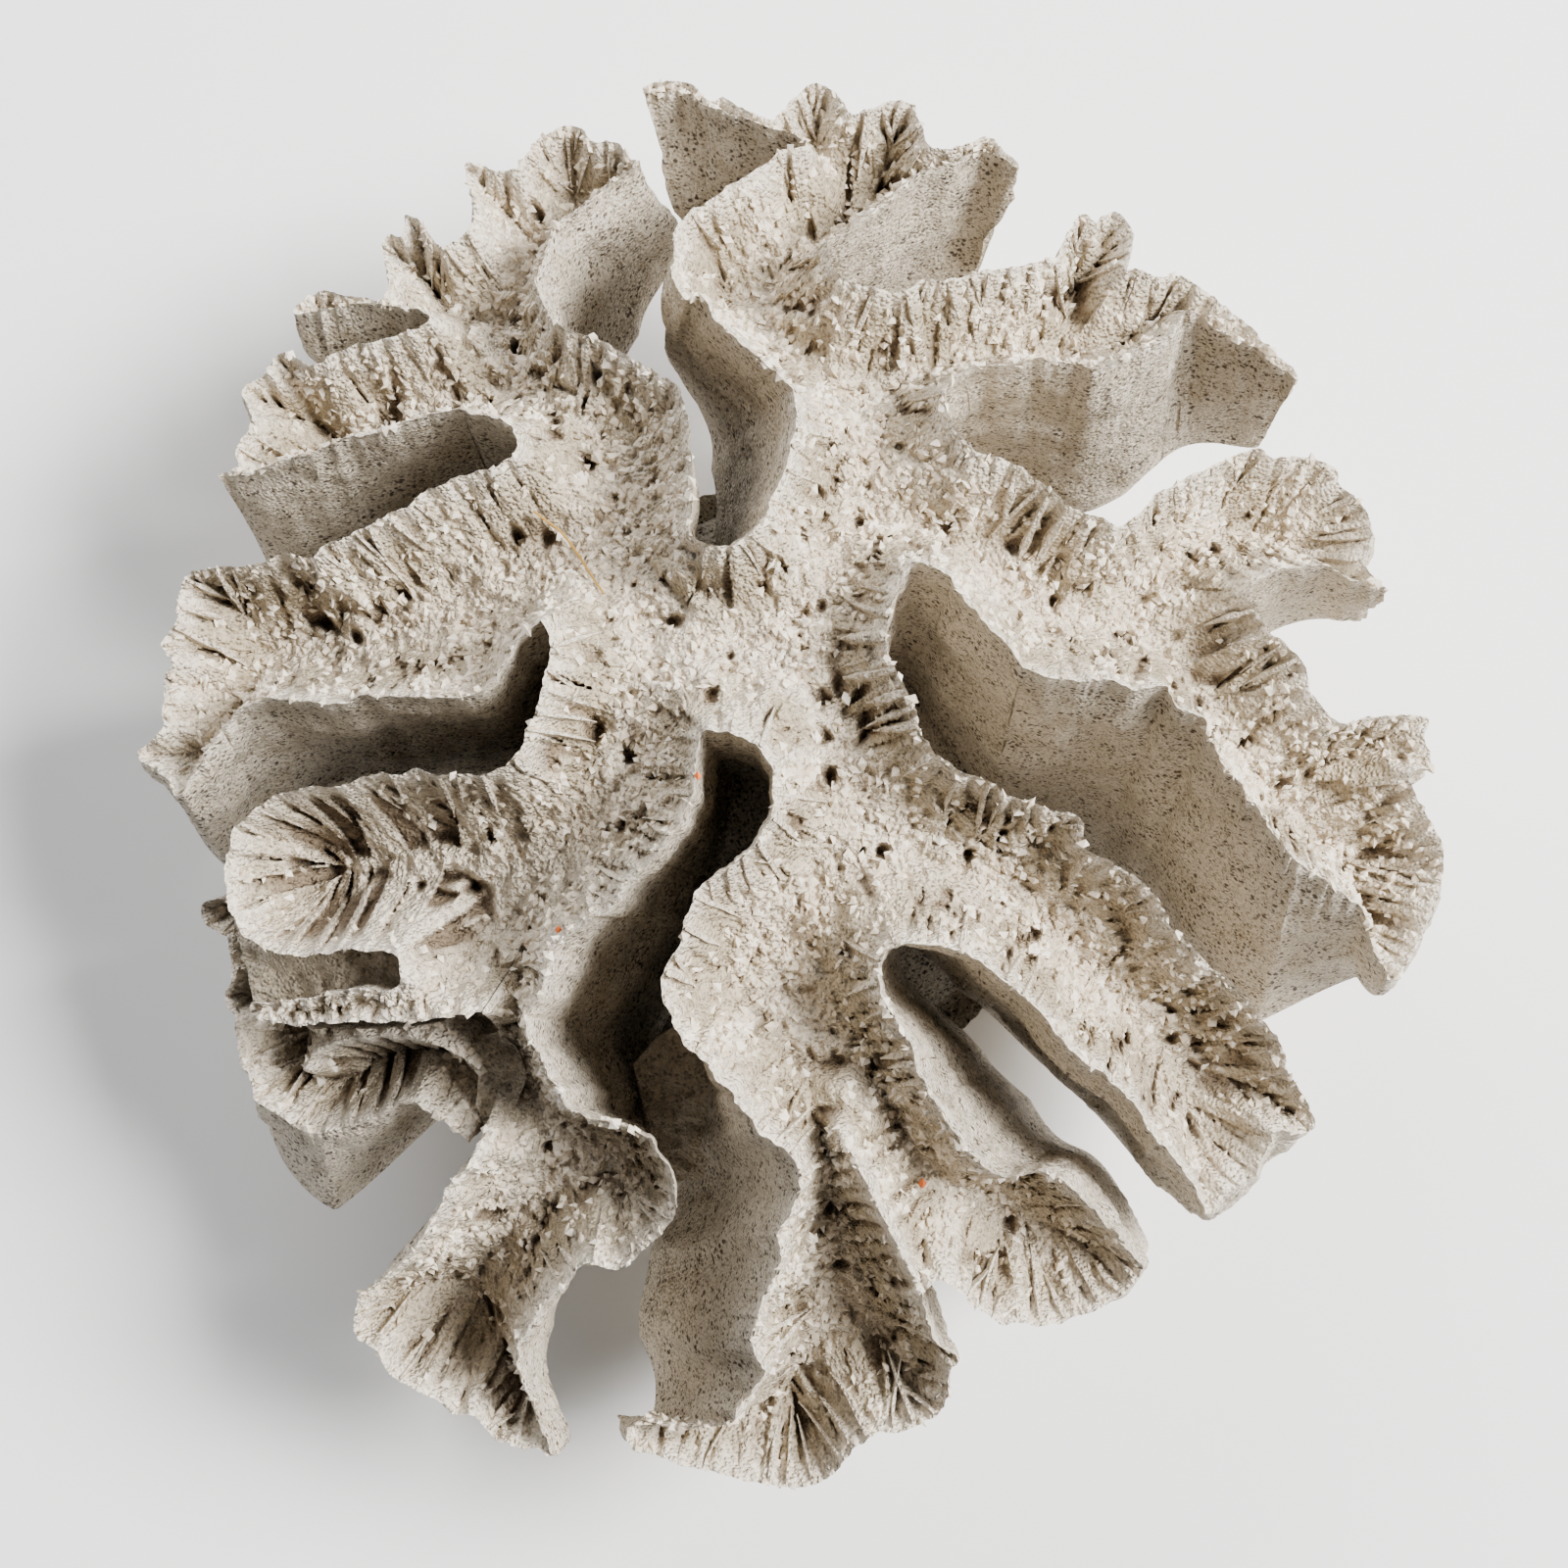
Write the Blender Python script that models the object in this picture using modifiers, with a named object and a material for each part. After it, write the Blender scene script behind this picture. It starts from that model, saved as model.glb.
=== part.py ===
"""Brain coral skeleton: meandering valleys on a cut stalk, split at the main forks.

The crest of the skeleton is one closed line. Inside it lie the valleys, outside it the
clefts. Each lobe is a prism of that plan: a hollowed top, walls that lean down to a
narrower foot, and an underside that rises outwards as a cone from the stalk.
Crest places are read by eye in picture units; every other size is in metres.
"""
import math

import bmesh
import bpy
from mathutils import Vector, geometry, kdtree

# Driving sizes
CROWN_LENGTH = 0.187
CREST_HEIGHT = 0.095
RIM_HEIGHT = 0.055
RIM_RADIUS = 0.090
CREST_CURVE = 1.8
VALLEY_DEPTH = 0.0160
VALLEY_HALF_WIDTH = 0.0068
SAND_MARGIN = 0.006
STALK_BASE_RADIUS = 0.035
STALK_RADIUS = 0.042
STALK_SIDE_HEIGHT = 0.0075
STALK_DOME_RISE = 0.034
STALK_DOME_CURVE = 1.5
UNDERSIDE_SLOPE = 0.64
FOOT_TAPER = 0.92
EASE_REACH = 0.003
EASE_FADE = 0.009

# Gaps and fineness of the faceted solids
CUT_GAP = 0.0003
STALK_GAP = 0.0006
CREST_STEP = 0.0031
THINNED_STEP = 0.0023
INSIDE_STEP = 0.0048
WALL_ROWS = 2
ROW_SPACING = 0.87
EDGE_CLEARANCE = 0.45
LEAST_STEP = 0.6
STALK_SIDES = 48
DOME_STEPS = 10
PLACE_ROUNDS = 12
SAME_PLACE = 1e-7
MERGE_REACH = 0.0001

# The picture that the crest line was read from
PICTURE_CENTRE = (800.0, 800.0)
PICTURE_LENGTH = 1436.0
EYE_HEIGHT = 0.42
EYE_PLACE = (-0.00196, -0.0002)

# Crest stretches: places in picture units, then the lean of the wall's foot in mm,
# given at even steps along the stretch
STRETCHES = {
    "north": (
        [(766, 358), (731, 325), (715, 302), (700, 303), (687, 277), (690, 236), (701, 216),
         (716, 208), (739, 190), (765, 175), (800, 154), (822, 146), (812, 134), (788, 128),
         (752, 117), (727, 110), (704, 95), (668, 92), (655, 91), (665, 82), (704, 84),
         (727, 99), (737, 96), (752, 108), (786, 119), (795, 112), (810, 98), (828, 85),
         (850, 91), (868, 111), (889, 108), (912, 103), (932, 105), (940, 121), (947, 146),
         (970, 151), (1006, 140), (1021, 147), (1040, 172), (1006, 152), (975, 164),
         (947, 170), (919, 190), (894, 210), (873, 226), (848, 244), (846, 262)],
        [(-9, 6), (-4, 3), (0, -6), (1, -8), (1, -6), (0, -2), (0, -2), (0, -4), (0, -5), (0, -2)]),
    "north_east": (
        [(863, 285), (889, 293), (917, 295), (940, 287), (970, 282), (1011, 274), (1044, 269),
         (1079, 257), (1102, 221), (1120, 226), (1135, 215), (1153, 229), (1154, 247),
         (1148, 275), (1163, 274), (1179, 280), (1199, 280), (1222, 289), (1240, 300),
         (1273, 331), (1293, 351), (1316, 369), (1326, 385), (1300, 368), (1260, 343),
         (1217, 318), (1204, 329), (1178, 349), (1143, 367), (1117, 377), (1092, 367),
         (1046, 367), (1000, 374), (985, 380)],
        [(0, -2), (1, -4), (2, -3), (3, -3), (3, -2), (4, -1), (6, -2), (8, -6), (6, -10), (6, -9), (6, -4)]),
    "north_fork": (
        [(846, 262), (852, 275), (863, 285)],
        [(0, -2), (0, -2)]),
    "east_cleft_head": (
        [(985, 380), (970, 388), (966, 403), (969, 429), (998, 458), (1030, 469), (1050, 480),
         (1075, 503)],
        [(6, -4), (3, 0), (3, -3), (4, -5)]),
    "east_stem": (
        [(1075, 503), (1094, 516), (1112, 525)],
        [(4, -5), (4, -5)]),
    "east_fork": (
        [(1276, 603), (1278, 611), (1284, 618)],
        [(12, -4), (9, -6)]),
    "east_upper": (
        [(1112, 525), (1143, 534), (1156, 529), (1173, 510), (1204, 492), (1234, 476),
         (1275, 457), (1300, 463), (1337, 468), (1363, 476), (1368, 493), (1392, 519),
         (1399, 550), (1394, 570), (1403, 591), (1419, 605), (1380, 591), (1354, 579),
         (1317, 579), (1285, 592), (1276, 603)],
        [(4, -5), (5, -4), (7, -3), (7, -1), (8, 0), (10, 0), (11, -2), (12, -4)]),
    "east": (
        [(1284, 618), (1297, 642), (1314, 655), (1331, 677), (1340, 703), (1360, 731),
         (1377, 737), (1423, 730), (1458, 730), (1455, 754), (1462, 780), (1440, 792),
         (1452, 820), (1468, 850), (1474, 890), (1462, 927), (1446, 965), (1426, 999),
         (1416, 1002), (1414, 988), (1400, 965), (1394, 933), (1374, 913), (1337, 887),
         (1300, 850), (1236, 756), (1230, 736), (1202, 724), (1190, 702), (1162, 702),
         (1130, 693), (1101, 696), (1044, 681)],
        [(9, -6), (9, -5), (9, -3), (9, -4), (9, -6), (10, -8), (7, -25), (6, -27), (3, -21), (3, -16)]),
    "east_root": (
        [(1044, 681), (1027, 661), (1007, 635), (989, 615), (972, 590), (946, 574),
         (929, 578), (911, 602), (905, 640), (908, 664), (923, 699)],
        [(3, -16), (1, -12), (1, -5), (1, -3)]),
    "east_cleft_south": (
        [(923, 699), (935, 730), (949, 756), (972, 780), (1001, 794)],
        [(1, -3), (2, -6), (2, -8)]),
    "south_east": (
        [(1001, 794), (1038, 815), (1084, 829), (1104, 838), (1110, 866), (1139, 884),
         (1159, 895), (1193, 932), (1199, 950), (1225, 973), (1250, 996), (1271, 1019),
         (1300, 1054), (1311, 1074), (1314, 1094), (1331, 1117), (1343, 1143), (1334, 1155),
         (1305, 1154), (1294, 1171), (1285, 1192), (1251, 1220), (1234, 1238), (1222, 1214),
         (1205, 1192), (1182, 1160), (1159, 1131), (1127, 1097), (1099, 1077), (1070, 1045),
         (1044, 1016), (1007, 987)],
        [(2, -8), (3, -10), (4, -11), (6, -10), (8, -10), (9, -11), (6, -12), (5, -11), (4, -11)]),
    "south_east_cleft_head": (
        [(1007, 987), (984, 973), (955, 964), (926, 961), (905, 974), (895, 1001),
         (915, 1039), (929, 1064), (934, 1084)],
        [(4, -11), (3, -5), (7, -6), (15, -9)]),
    "south_south_east": (
        [(934, 1084), (940, 1103), (961, 1137), (979, 1163), (996, 1183), (1016, 1200), (1050, 1198),
         (1067, 1194), (1102, 1220), (1125, 1246), (1150, 1275), (1167, 1298), (1140, 1325),
         (1100, 1345), (1059, 1353), (1036, 1350), (1022, 1353), (1002, 1338), (979, 1321),
         (959, 1309), (941, 1320)],
        [(15, -9), (16, -6), (15, -8), (13, -11), (9, -8), (6, -6), (4, -5), (3, -6)]),
    "south": (
        [(941, 1320), (947, 1347), (961, 1375), (977, 1387), (970, 1404), (969, 1421),
         (959, 1444), (936, 1456), (895, 1466), (864, 1487), (850, 1508), (821, 1518),
         (780, 1516), (752, 1510), (703, 1499), (666, 1487), (646, 1476), (638, 1464),
         (656, 1453), (700, 1459), (735, 1456), (749, 1447), (761, 1427), (778, 1404),
         (768, 1385), (769, 1358), (784, 1312), (798, 1284), (795, 1261), (818, 1215),
         (804, 1177), (780, 1160), (756, 1133), (738, 1105), (698, 1067)],
        [(3, -6), (1, -5), (-1, -6), (-2, -7), (-3, -7), (-10, -11), (-17, -11), (-19, -14),
         (-16, -14), (2, -5)]),
    "south_cleft": (
        [(698, 1067), (684, 1041), (678, 1016), (678, 995), (692, 967), (704, 927),
         (724, 898), (755, 875), (781, 846), (790, 800), (778, 766), (755, 750), (738, 745),
         (717, 746), (707, 795), (704, 815), (692, 840), (664, 878)],
        [(2, -5), (3, -3), (3, -2), (0, -1), (-1, -4), (2, -4), (4, -5)]),
    "south_west": (
        [(664, 878), (638, 904), (618, 927), (595, 941), (566, 967), (555, 995), (549, 1016),
         (537, 1044), (546, 1073), (577, 1126), (594, 1137), (626, 1149), (654, 1157),
         (674, 1177), (683, 1195), (692, 1226), (674, 1261), (648, 1284), (626, 1297),
         (597, 1292), (551, 1338), (528, 1378), (534, 1416), (548, 1447), (560, 1479),
         (568, 1486), (528, 1476), (505, 1470), (482, 1444), (459, 1443), (442, 1430),
         (419, 1419), (399, 1404), (382, 1378), (362, 1362), (360, 1350), (367, 1324),
         (382, 1312), (407, 1289), (436, 1255), (456, 1215), (476, 1192)],
        [(4, -5), (12, -8), (9, -12), (-8, -10), (-10, -10), (-2, -11), (0, -9), (-2, -6),
         (-4, -5), (-4, -4), (-3, -3)]),
    "south_west_lower": (
        [(470, 1176), (453, 1163), (442, 1153), (425, 1142), (405, 1133), (368, 1150),
         (331, 1162), (302, 1165), (253, 1136), (239, 1104), (230, 1096), (225, 1053),
         (213, 1024), (222, 998), (216, 964), (196, 949), (190, 926), (228, 914)],
        [(-3, -5), (-3, -9), (-6, -17), (-6, -11), (-3, -4), (-2, -2), (-2, -1)]),
    "west_lower": (
        [(490, 1033), (450, 1040), (410, 1042), (350, 1042), (300, 1045), (262, 1040),
         (253, 1027), (291, 1022), (317, 1016), (371, 1010), (402, 1012), (408, 992),
         (400, 975), (354, 966), (331, 975), (302, 975), (268, 969), (245, 952),
         (229, 918), (233, 855), (253, 834), (285, 811), (348, 799), (411, 788),
         (446, 790), (489, 790), (515, 782)],
        [(0, 0), (0, 0), (0, 0), (0, -3), (0, -3), (0, 0), (-1, -3), (-3, -8), (-3, -5)]),
    "west_cleft_head": (
        [(515, 782), (529, 762), (543, 733), (556, 693), (560, 655), (552, 633)],
        [(-3, -5), (-1, -4), (-1, -6)]),
    "west": (
        [(552, 633), (526, 656), (503, 693), (474, 710), (417, 710), (374, 710), (331, 719),
         (291, 713), (245, 722), (215, 760), (184, 812), (167, 793), (142, 773), (142, 765),
         (162, 747), (167, 724), (166, 690), (175, 676), (163, 656), (176, 633), (183, 598),
         (192, 584), (216, 578), (253, 577), (282, 567), (314, 567), (331, 558), (374, 536),
         (403, 521), (431, 502), (460, 490), (497, 478), (522, 466)],
        [(-1, -6), (-3, -9), (-4, -10), (-6, -14), (-6, -6), (-6, -3), (-6, -4), (-5, -5), (-3, -5)]),
    "north_west_fork": (
        [(424, 335), (435, 330), (436, 322), (427, 315)],
        [(-3, -4), (-3, -5)]),
    "west_upper_cleft": (
        [(522, 466), (526, 452), (523, 437), (500, 424), (469, 417)],
        [(-3, -5), (-2, -4), (-3, -5)]),
    "west_upper": (
        [(469, 417), (446, 420), (417, 429), (377, 443), (331, 455), (302, 466), (256, 479),
         (222, 486), (240, 476), (242, 455), (258, 422), (245, 403), (253, 389), (268, 383),
         (286, 362), (320, 369), (357, 353), (383, 347), (424, 335)],
        [(-3, -5), (-5, -9), (-6, -12), (-6, -4), (-5, -3), (-4, -4), (-3, -4)]),
    "north_west": (
        [(427, 315), (396, 310), (342, 312), (306, 320), (304, 308), (327, 296),
         (350, 298), (386, 306), (396, 290), (388, 254), (398, 237), (410, 239), (414, 217),
         (428, 223), (439, 246), (457, 250), (484, 218), (476, 170), (510, 172), (527, 170),
         (543, 147), (563, 134), (579, 128), (594, 131), (604, 142), (628, 145), (640, 161),
         (651, 165), (619, 187), (594, 210), (579, 218), (561, 236), (553, 264), (548, 290),
         (558, 320), (579, 338)],
        [(-3, -5), (-5, -8), (-4, -3), (-3, -1), (-2, 0), (-1, 1), (-1, 2), (5, 2), (7, 0), (0, -2)]),
    "north_west_root": (
        [(579, 338), (599, 341), (619, 348), (645, 364), (679, 384), (698, 409), (704, 440)],
        [(0, -2), (-3, 0), (-5, 4)]),
    "north_cleft_head": (
        [(704, 440), (707, 498), (702, 538), (724, 556), (755, 552), (776, 532), (796, 489),
         (804, 466), (813, 427), (809, 398), (792, 378), (766, 358)],
        [(-5, 4), (-4, 4), (-5, 3), (-10, 3), (-12, 4), (-9, 6)]),
}

# Inside places where pieces meet, in picture units, each with its lean in mm
SOUTH_FORK = ((850, 1125), (3, -7))
SOUTH_WEST_FORK = ((528, 890), (-1, -4))
LOWER_CORNER = ((487, 1050), (0, 0))
LOWER_STEP = [((236, 935), (0, 0)), ((238, 962), (0, 0)), ((244, 985), (0, 0)),
              ((238, 1015), (0, 0)), ((242, 1048), (0, 0)), ((262, 1056), (0, 0)),
              ((300, 1060), (0, 0)), ((410, 1056), (0, 0))]

# Each piece of the crown: the stretches round it, and the inside places between them
LOBES = {
    "crown_centre": ["north_fork", "east_cleft_head", "east_root", "east_cleft_south",
                     "south_east_cleft_head", SOUTH_FORK, "south_cleft", SOUTH_WEST_FORK,
                     "west_cleft_head", "west_upper_cleft", "north_west_fork",
                     "north_west_root", "north_cleft_head"],
    "north_lobe": ["north"],
    "north_east_lobe": ["north_east"],
    "east_upper_lobe": ["east_upper"],
    "east_lobe": ["east", "east_stem", "east_fork"],
    "south_east_lobe": ["south_east"],
    "south_south_east_lobe": ["south_south_east", SOUTH_FORK],
    "south_lobe": ["south", SOUTH_FORK],
    "south_west_lobe": ["south_west", LOWER_CORNER, SOUTH_WEST_FORK],
    "south_west_lower_lobe": ["south_west_lower", *LOWER_STEP, LOWER_CORNER],
    "west_lower_lobe": ["west_lower", SOUTH_WEST_FORK],
    "west_lobe": ["west"],
    "west_upper_lobe": ["west_upper"],
    "north_west_lobe": ["north_west"],
}
LOWER_TIER = ["south_west_lower"]

# Raised valley floor: place in picture units, radius and rise in metres
SAND = [
    ((690, 690), 0.011, 0.0050),
    ((800, 640), 0.013, 0.0035),
    ((790, 720), 0.007, 0.0060),
    ((600, 660), 0.007, 0.0035),
    ((960, 950), 0.006, 0.0045),
    ((640, 930), 0.006, 0.0040),
    ((560, 400), 0.007, 0.0030),
    ((880, 420), 0.008, 0.0030),
]
LOWER_TIER_DROP = 0.009
FOOT_GRID_RADIUS = 0.052

STONE_COLOUR = (0.72, 0.66, 0.56, 1.0)
STALK_COLOUR = (0.62, 0.56, 0.47, 1.0)
STONE_ROUGHNESS = 0.9


def crest_height(radius):
    """Height of the crests over the plan: a low dome."""
    return CREST_HEIGHT - (CREST_HEIGHT - RIM_HEIGHT) * (radius / RIM_RADIUS) ** CREST_CURVE


def stalk_top(radius):
    """Height of the stalk's domed top, which the lobes stand on."""
    return STALK_SIDE_HEIGHT + STALK_DOME_RISE * (1 - (radius / STALK_RADIUS) ** STALK_DOME_CURVE)


def foot_height(radius):
    """Height of the lobes' undersides: on the stalk, then rising outwards as a cone."""
    if radius < STALK_RADIUS:
        return stalk_top(radius) + STALK_GAP
    return STALK_SIDE_HEIGHT + STALK_GAP + UNDERSIDE_SLOPE * (radius - STALK_RADIUS)


def plan_place(picture_place):
    """The crest's plan place for a place in the picture, seen from EYE_HEIGHT."""
    unit = CROWN_LENGTH / PICTURE_LENGTH / (EYE_HEIGHT - RIM_HEIGHT)
    across = (picture_place[0] - PICTURE_CENTRE[0]) * unit
    along = (PICTURE_CENTRE[1] - picture_place[1]) * unit
    height = RIM_HEIGHT
    for _ in range(PLACE_ROUNDS):
        place = Vector(EYE_PLACE) + Vector((across, along)) * (EYE_HEIGHT - height)
        height = crest_height(place.length)
    return place


def spline(points, step):
    """Places about a step apart on a smooth curve through the given points."""
    ends = [points[0] * 2 - points[1], *points, points[-1] * 2 - points[-2]]
    places = []
    for a, b, c, d in zip(ends, ends[1:], ends[2:], ends[3:]):
        count = max(1, round((c - b).length / step))
        for i in range(count):
            t = i / count
            places.append(0.5 * (2 * b + (c - a) * t + (2 * a - 5 * b + 4 * c - d) * t * t
                                 + (3 * b - a - 3 * c + d) * t ** 3))
    places.append(points[-1])
    return places


def thinned(places, step):
    """The places without those nearer than a step to the one before, ends kept."""
    kept = [places[0]]
    for place in places[1:-1]:
        far_from_last = (place - kept[-1]).length > step
        if far_from_last and (place - places[-1]).length > LEAST_STEP * step:
            kept.append(place)
    kept.append(places[-1])
    return kept


def distances(places):
    """Distance gone along the line at each of its places."""
    gone = [0.0]
    for a, b in zip(places, places[1:]):
        gone.append(gone[-1] + (b - a).length)
    return gone


def eased(places, gone):
    """The line smoothed over EASE_REACH, with its ends held."""
    first, last, length = places[0], places[-1], gone[-1]
    line = [(-g, first * 2 - p) for p, g in zip(places, gone)][:0:-1]
    line += zip(gone, places)
    line += [(length * 2 - g, last * 2 - p) for p, g in zip(places, gone)][-2::-1]
    smoothed = [first]
    for here in gone[1:-1]:
        weights = [math.exp(-0.5 * ((g - here) / EASE_REACH) ** 2) for g, _ in line]
        total = Vector((0.0, 0.0))
        for weight, (_, place) in zip(weights, line):
            total += place * weight
        place = places[gone.index(here)]
        share = min(1.0, here / EASE_FADE, (length - here) / EASE_FADE)
        smoothed.append(place.lerp(total / sum(weights), share))
    smoothed.append(last)
    return smoothed


def stretch_rows(name):
    """Crest places of a stretch with the lean of the wall's foot at each."""
    points, leans = STRETCHES[name]
    places = thinned(spline([plan_place(p) for p in points], CREST_STEP), THINNED_STEP)
    travelled = distances(places)
    rows = []
    for place, smooth, distance in zip(places, eased(places, travelled), travelled):
        step = distance / travelled[-1] * (len(leans) - 1)
        index = min(int(step), len(leans) - 2)
        lean = Vector(leans[index]).lerp(Vector(leans[index + 1]), step - index) / 1000
        rows.append((place, lean + (smooth - place) * FOOT_TAPER, True))
    return rows


def outline(lobe):
    """The closed outline of a lobe: (plan place, foot's lean, on the crest) rows."""
    parts = []
    for item in LOBES[lobe]:
        if isinstance(item, str):
            parts.append(stretch_rows(item))
        else:
            parts.append([(plan_place(item[0]), Vector(item[1]) / 1000, False)])
    rows = []
    for index, part in enumerate(parts):
        following = parts[(index + 1) % len(parts)]
        rows += part
        (start, _, _), (end, _, _) = part[-1], following[0]
        count = max(1, round((end - start).length / CREST_STEP))
        rows += [(start.lerp(end, i / count), None, False) for i in range(1, count)]
        if (end - start).length < SAME_PLACE:
            rows.pop()
    return fill_leans(rows)


def fill_leans(rows):
    """Gives the places on the cuts a lean between those of the crests beside them."""
    total = len(rows)
    known = [i for i, row in enumerate(rows) if row[1] is not None]
    filled = list(rows)
    for a, b in zip(known, known[1:] + [known[0] + total]):
        span = sum((rows[(i + 1) % total][0] - rows[i % total][0]).length for i in range(a, b))
        gone = 0.0
        for i in range(a + 1, b):
            gone += (rows[i % total][0] - rows[(i - 1) % total][0]).length
            lean = rows[a % total][1].lerp(rows[b % total][1], gone / span)
            filled[i % total] = (rows[i % total][0], lean, False)
    return filled


def pulled_in(rows):
    """Moves the cuts, with their ends, half a gap into the lobe."""
    total = len(rows)
    moved = []
    for i, (place, lean, on_crest) in enumerate(rows):
        before, after = rows[i - 1], rows[(i + 1) % total]
        shift = Vector((0.0, 0.0))
        for start, end in ((before, rows[i]), (rows[i], after)):
            if not (start[2] and end[2]):
                edge = (end[0] - start[0]).normalized()
                shift += Vector((edge.y, -edge.x))
        shift = shift.normalized() * CUT_GAP
        moved.append((place + shift, lean, on_crest))
    return moved


def sand_rise(place):
    """How far sand and overgrowth lift the valley floor."""
    rise = 0.0
    for middle, radius, lift in SAND:
        away = (place - plan_place(middle)).length
        rise = max(rise, lift * math.exp(-(away / radius) ** 2))
    return rise


class Crests:
    """The crest line's places, for the height of any place inside the valleys."""

    def __init__(self, names, drop):
        rows = [row for name in names for row in stretch_rows(name)]
        self.drop = drop
        self.tree = kdtree.KDTree(len(rows))
        for index, (place, _, _) in enumerate(rows):
            self.tree.insert((place.x, place.y, 0.0), index)
        self.tree.balance()

    def crest(self, place):
        return crest_height(place.length) - self.drop

    def height(self, place):
        """The valley's surface: steep below the crest, then levelling."""
        distance = self.tree.find((place.x, place.y, 0.0))[2]
        rise = sand_rise(place) * min(1.0, distance / SAND_MARGIN)
        return self.crest(place) + rise - VALLEY_DEPTH * math.tanh(distance / VALLEY_HALF_WIDTH)


def inside(place, polygon):
    """Whether a plan place is inside a closed polygon."""
    crossings = 0
    for a, b in zip(polygon, polygon[1:] + polygon[:1]):
        if (a.y > place.y) != (b.y > place.y):
            crossings += place.x < a.x + (place.y - a.y) / (b.y - a.y) * (b.x - a.x)
    return crossings % 2 == 1


def clearance(place, polygon):
    """Distance from a place to the nearest corner or side of a polygon."""
    nearest = 1.0
    for a, b in zip(polygon, polygon[1:] + polygon[:1]):
        side = b - a
        along = max(0.0, min(1.0, (place - a).dot(side) / max(side.length_squared, SAME_PLACE ** 2)))
        nearest = min(nearest, (place - a - side * along).length)
    return nearest


def inner_places(polygon, step, reach):
    """A staggered grid of places inside the polygon, within reach of the centre."""
    xs = [p.x for p in polygon]
    ys = [p.y for p in polygon]
    places = []
    rows = int((max(ys) - min(ys)) / (step * ROW_SPACING)) + 2
    columns = int((max(xs) - min(xs)) / step) + 2
    for row in range(rows):
        for column in range(columns):
            place = Vector((min(xs) + (column + row % 2 / 2) * step, min(ys) + row * step * ROW_SPACING))
            if place.length > reach or not inside(place, polygon):
                continue
            if clearance(place, polygon) > EDGE_CLEARANCE * step:
                places.append(place)
    return places


def sheet(polygon, extra, lobe):
    """Triangles that fill the polygon through the extra places."""
    points = polygon + extra
    edges = [(i, (i + 1) % len(polygon)) for i in range(len(polygon))]
    found = geometry.delaunay_2d_cdt(points, edges, [], 1, SAME_PLACE)
    if len(found[0]) != len(points):
        raise ValueError(f"the outline of {lobe} crosses itself")
    order = [ids[0] for ids in found[3]]
    return [[order[i] for i in face] for face in found[2]]


def material(name, colour):
    made = bpy.data.materials.new(name)
    made.use_nodes = True
    shader = made.node_tree.nodes["Principled BSDF"]
    shader.inputs["Base Color"].default_value = colour
    shader.inputs["Roughness"].default_value = STONE_ROUGHNESS
    shader.inputs["Metallic"].default_value = 0.0
    return made


def make_lobe(lobe, crests, collection):
    """One lobe: the valley sheet on top, leaning walls, and the cone-shaped underside."""
    rows = pulled_in(outline(lobe))
    top = [row[0] for row in rows]
    foot = [place * FOOT_TAPER + lean for place, lean, _ in rows]
    mesh = bmesh.new()
    rings = []
    for level in range(WALL_ROWS + 1):
        share = level / WALL_ROWS
        ring = []
        for (place, _, on_crest), low in zip(rows, foot):
            high = crests.crest(place) if on_crest else crests.height(place)
            deep = foot_height(low.length)
            spot = place.lerp(low, share)
            ring.append(mesh.verts.new((spot.x, spot.y, high + (deep - high) * share)))
        rings.append(ring)
    for upper, lower in zip(rings, rings[1:]):
        for i in range(len(upper)):
            j = (i + 1) % len(upper)
            mesh.faces.new((upper[i], upper[j], lower[j]))
            mesh.faces.new((upper[i], lower[j], lower[i]))
    extra = inner_places(top, INSIDE_STEP, CROWN_LENGTH)
    tops = rings[0] + [mesh.verts.new((p.x, p.y, crests.height(p))) for p in extra]
    for face in sheet(top, extra, lobe):
        mesh.faces.new([tops[i] for i in face])
    extra = inner_places(foot, INSIDE_STEP, FOOT_GRID_RADIUS)
    feet = rings[-1] + [mesh.verts.new((p.x, p.y, foot_height(p.length))) for p in extra]
    for face in sheet(foot, extra, lobe + " foot"):
        mesh.faces.new([feet[i] for i in reversed(face)])
    bmesh.ops.recalc_face_normals(mesh, faces=mesh.faces)
    data = bpy.data.meshes.new(lobe)
    mesh.to_mesh(data)
    mesh.free()
    made = bpy.data.objects.new(lobe, data)
    collection.objects.link(made)
    made.data.materials.append(material(lobe + "_stone", STONE_COLOUR))
    return made


def make_stalk(collection):
    """The cut stalk: a turned profile, flat below, domed where the lobes stand on it."""
    radii = [STALK_RADIUS * i / DOME_STEPS for i in range(1, DOME_STEPS + 1)]
    dome = [(radius, stalk_top(radius)) for radius in radii]
    profile = [(0.0, stalk_top(0.0)), *dome, (STALK_BASE_RADIUS, 0.0), (0.0, 0.0)]
    data = bpy.data.meshes.new("stalk")
    points = [(x, 0.0, z) for x, z in profile]
    data.from_pydata(points, [(i, i + 1) for i in range(len(points) - 1)], [])
    made = bpy.data.objects.new("stalk", data)
    collection.objects.link(made)
    turn = made.modifiers.new("turn", "SCREW")
    turn.steps = STALK_SIDES
    turn.render_steps = STALK_SIDES
    turn.use_merge_vertices = True
    turn.merge_threshold = MERGE_REACH
    made.data.materials.append(material("stalk_stone", STALK_COLOUR))
    return made


def main():
    for old in list(bpy.data.objects):
        bpy.data.objects.remove(old, do_unlink=True)
    collection = bpy.data.collections.new("brain_coral_skeleton")
    bpy.context.scene.collection.children.link(collection)
    upper = Crests([name for name in STRETCHES if name not in LOWER_TIER], 0.0)
    lower = Crests(LOWER_TIER, LOWER_TIER_DROP)
    make_stalk(collection)
    for lobe, items in LOBES.items():
        make_lobe(lobe, lower if items[0] in LOWER_TIER else upper, collection)


main()
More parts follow.
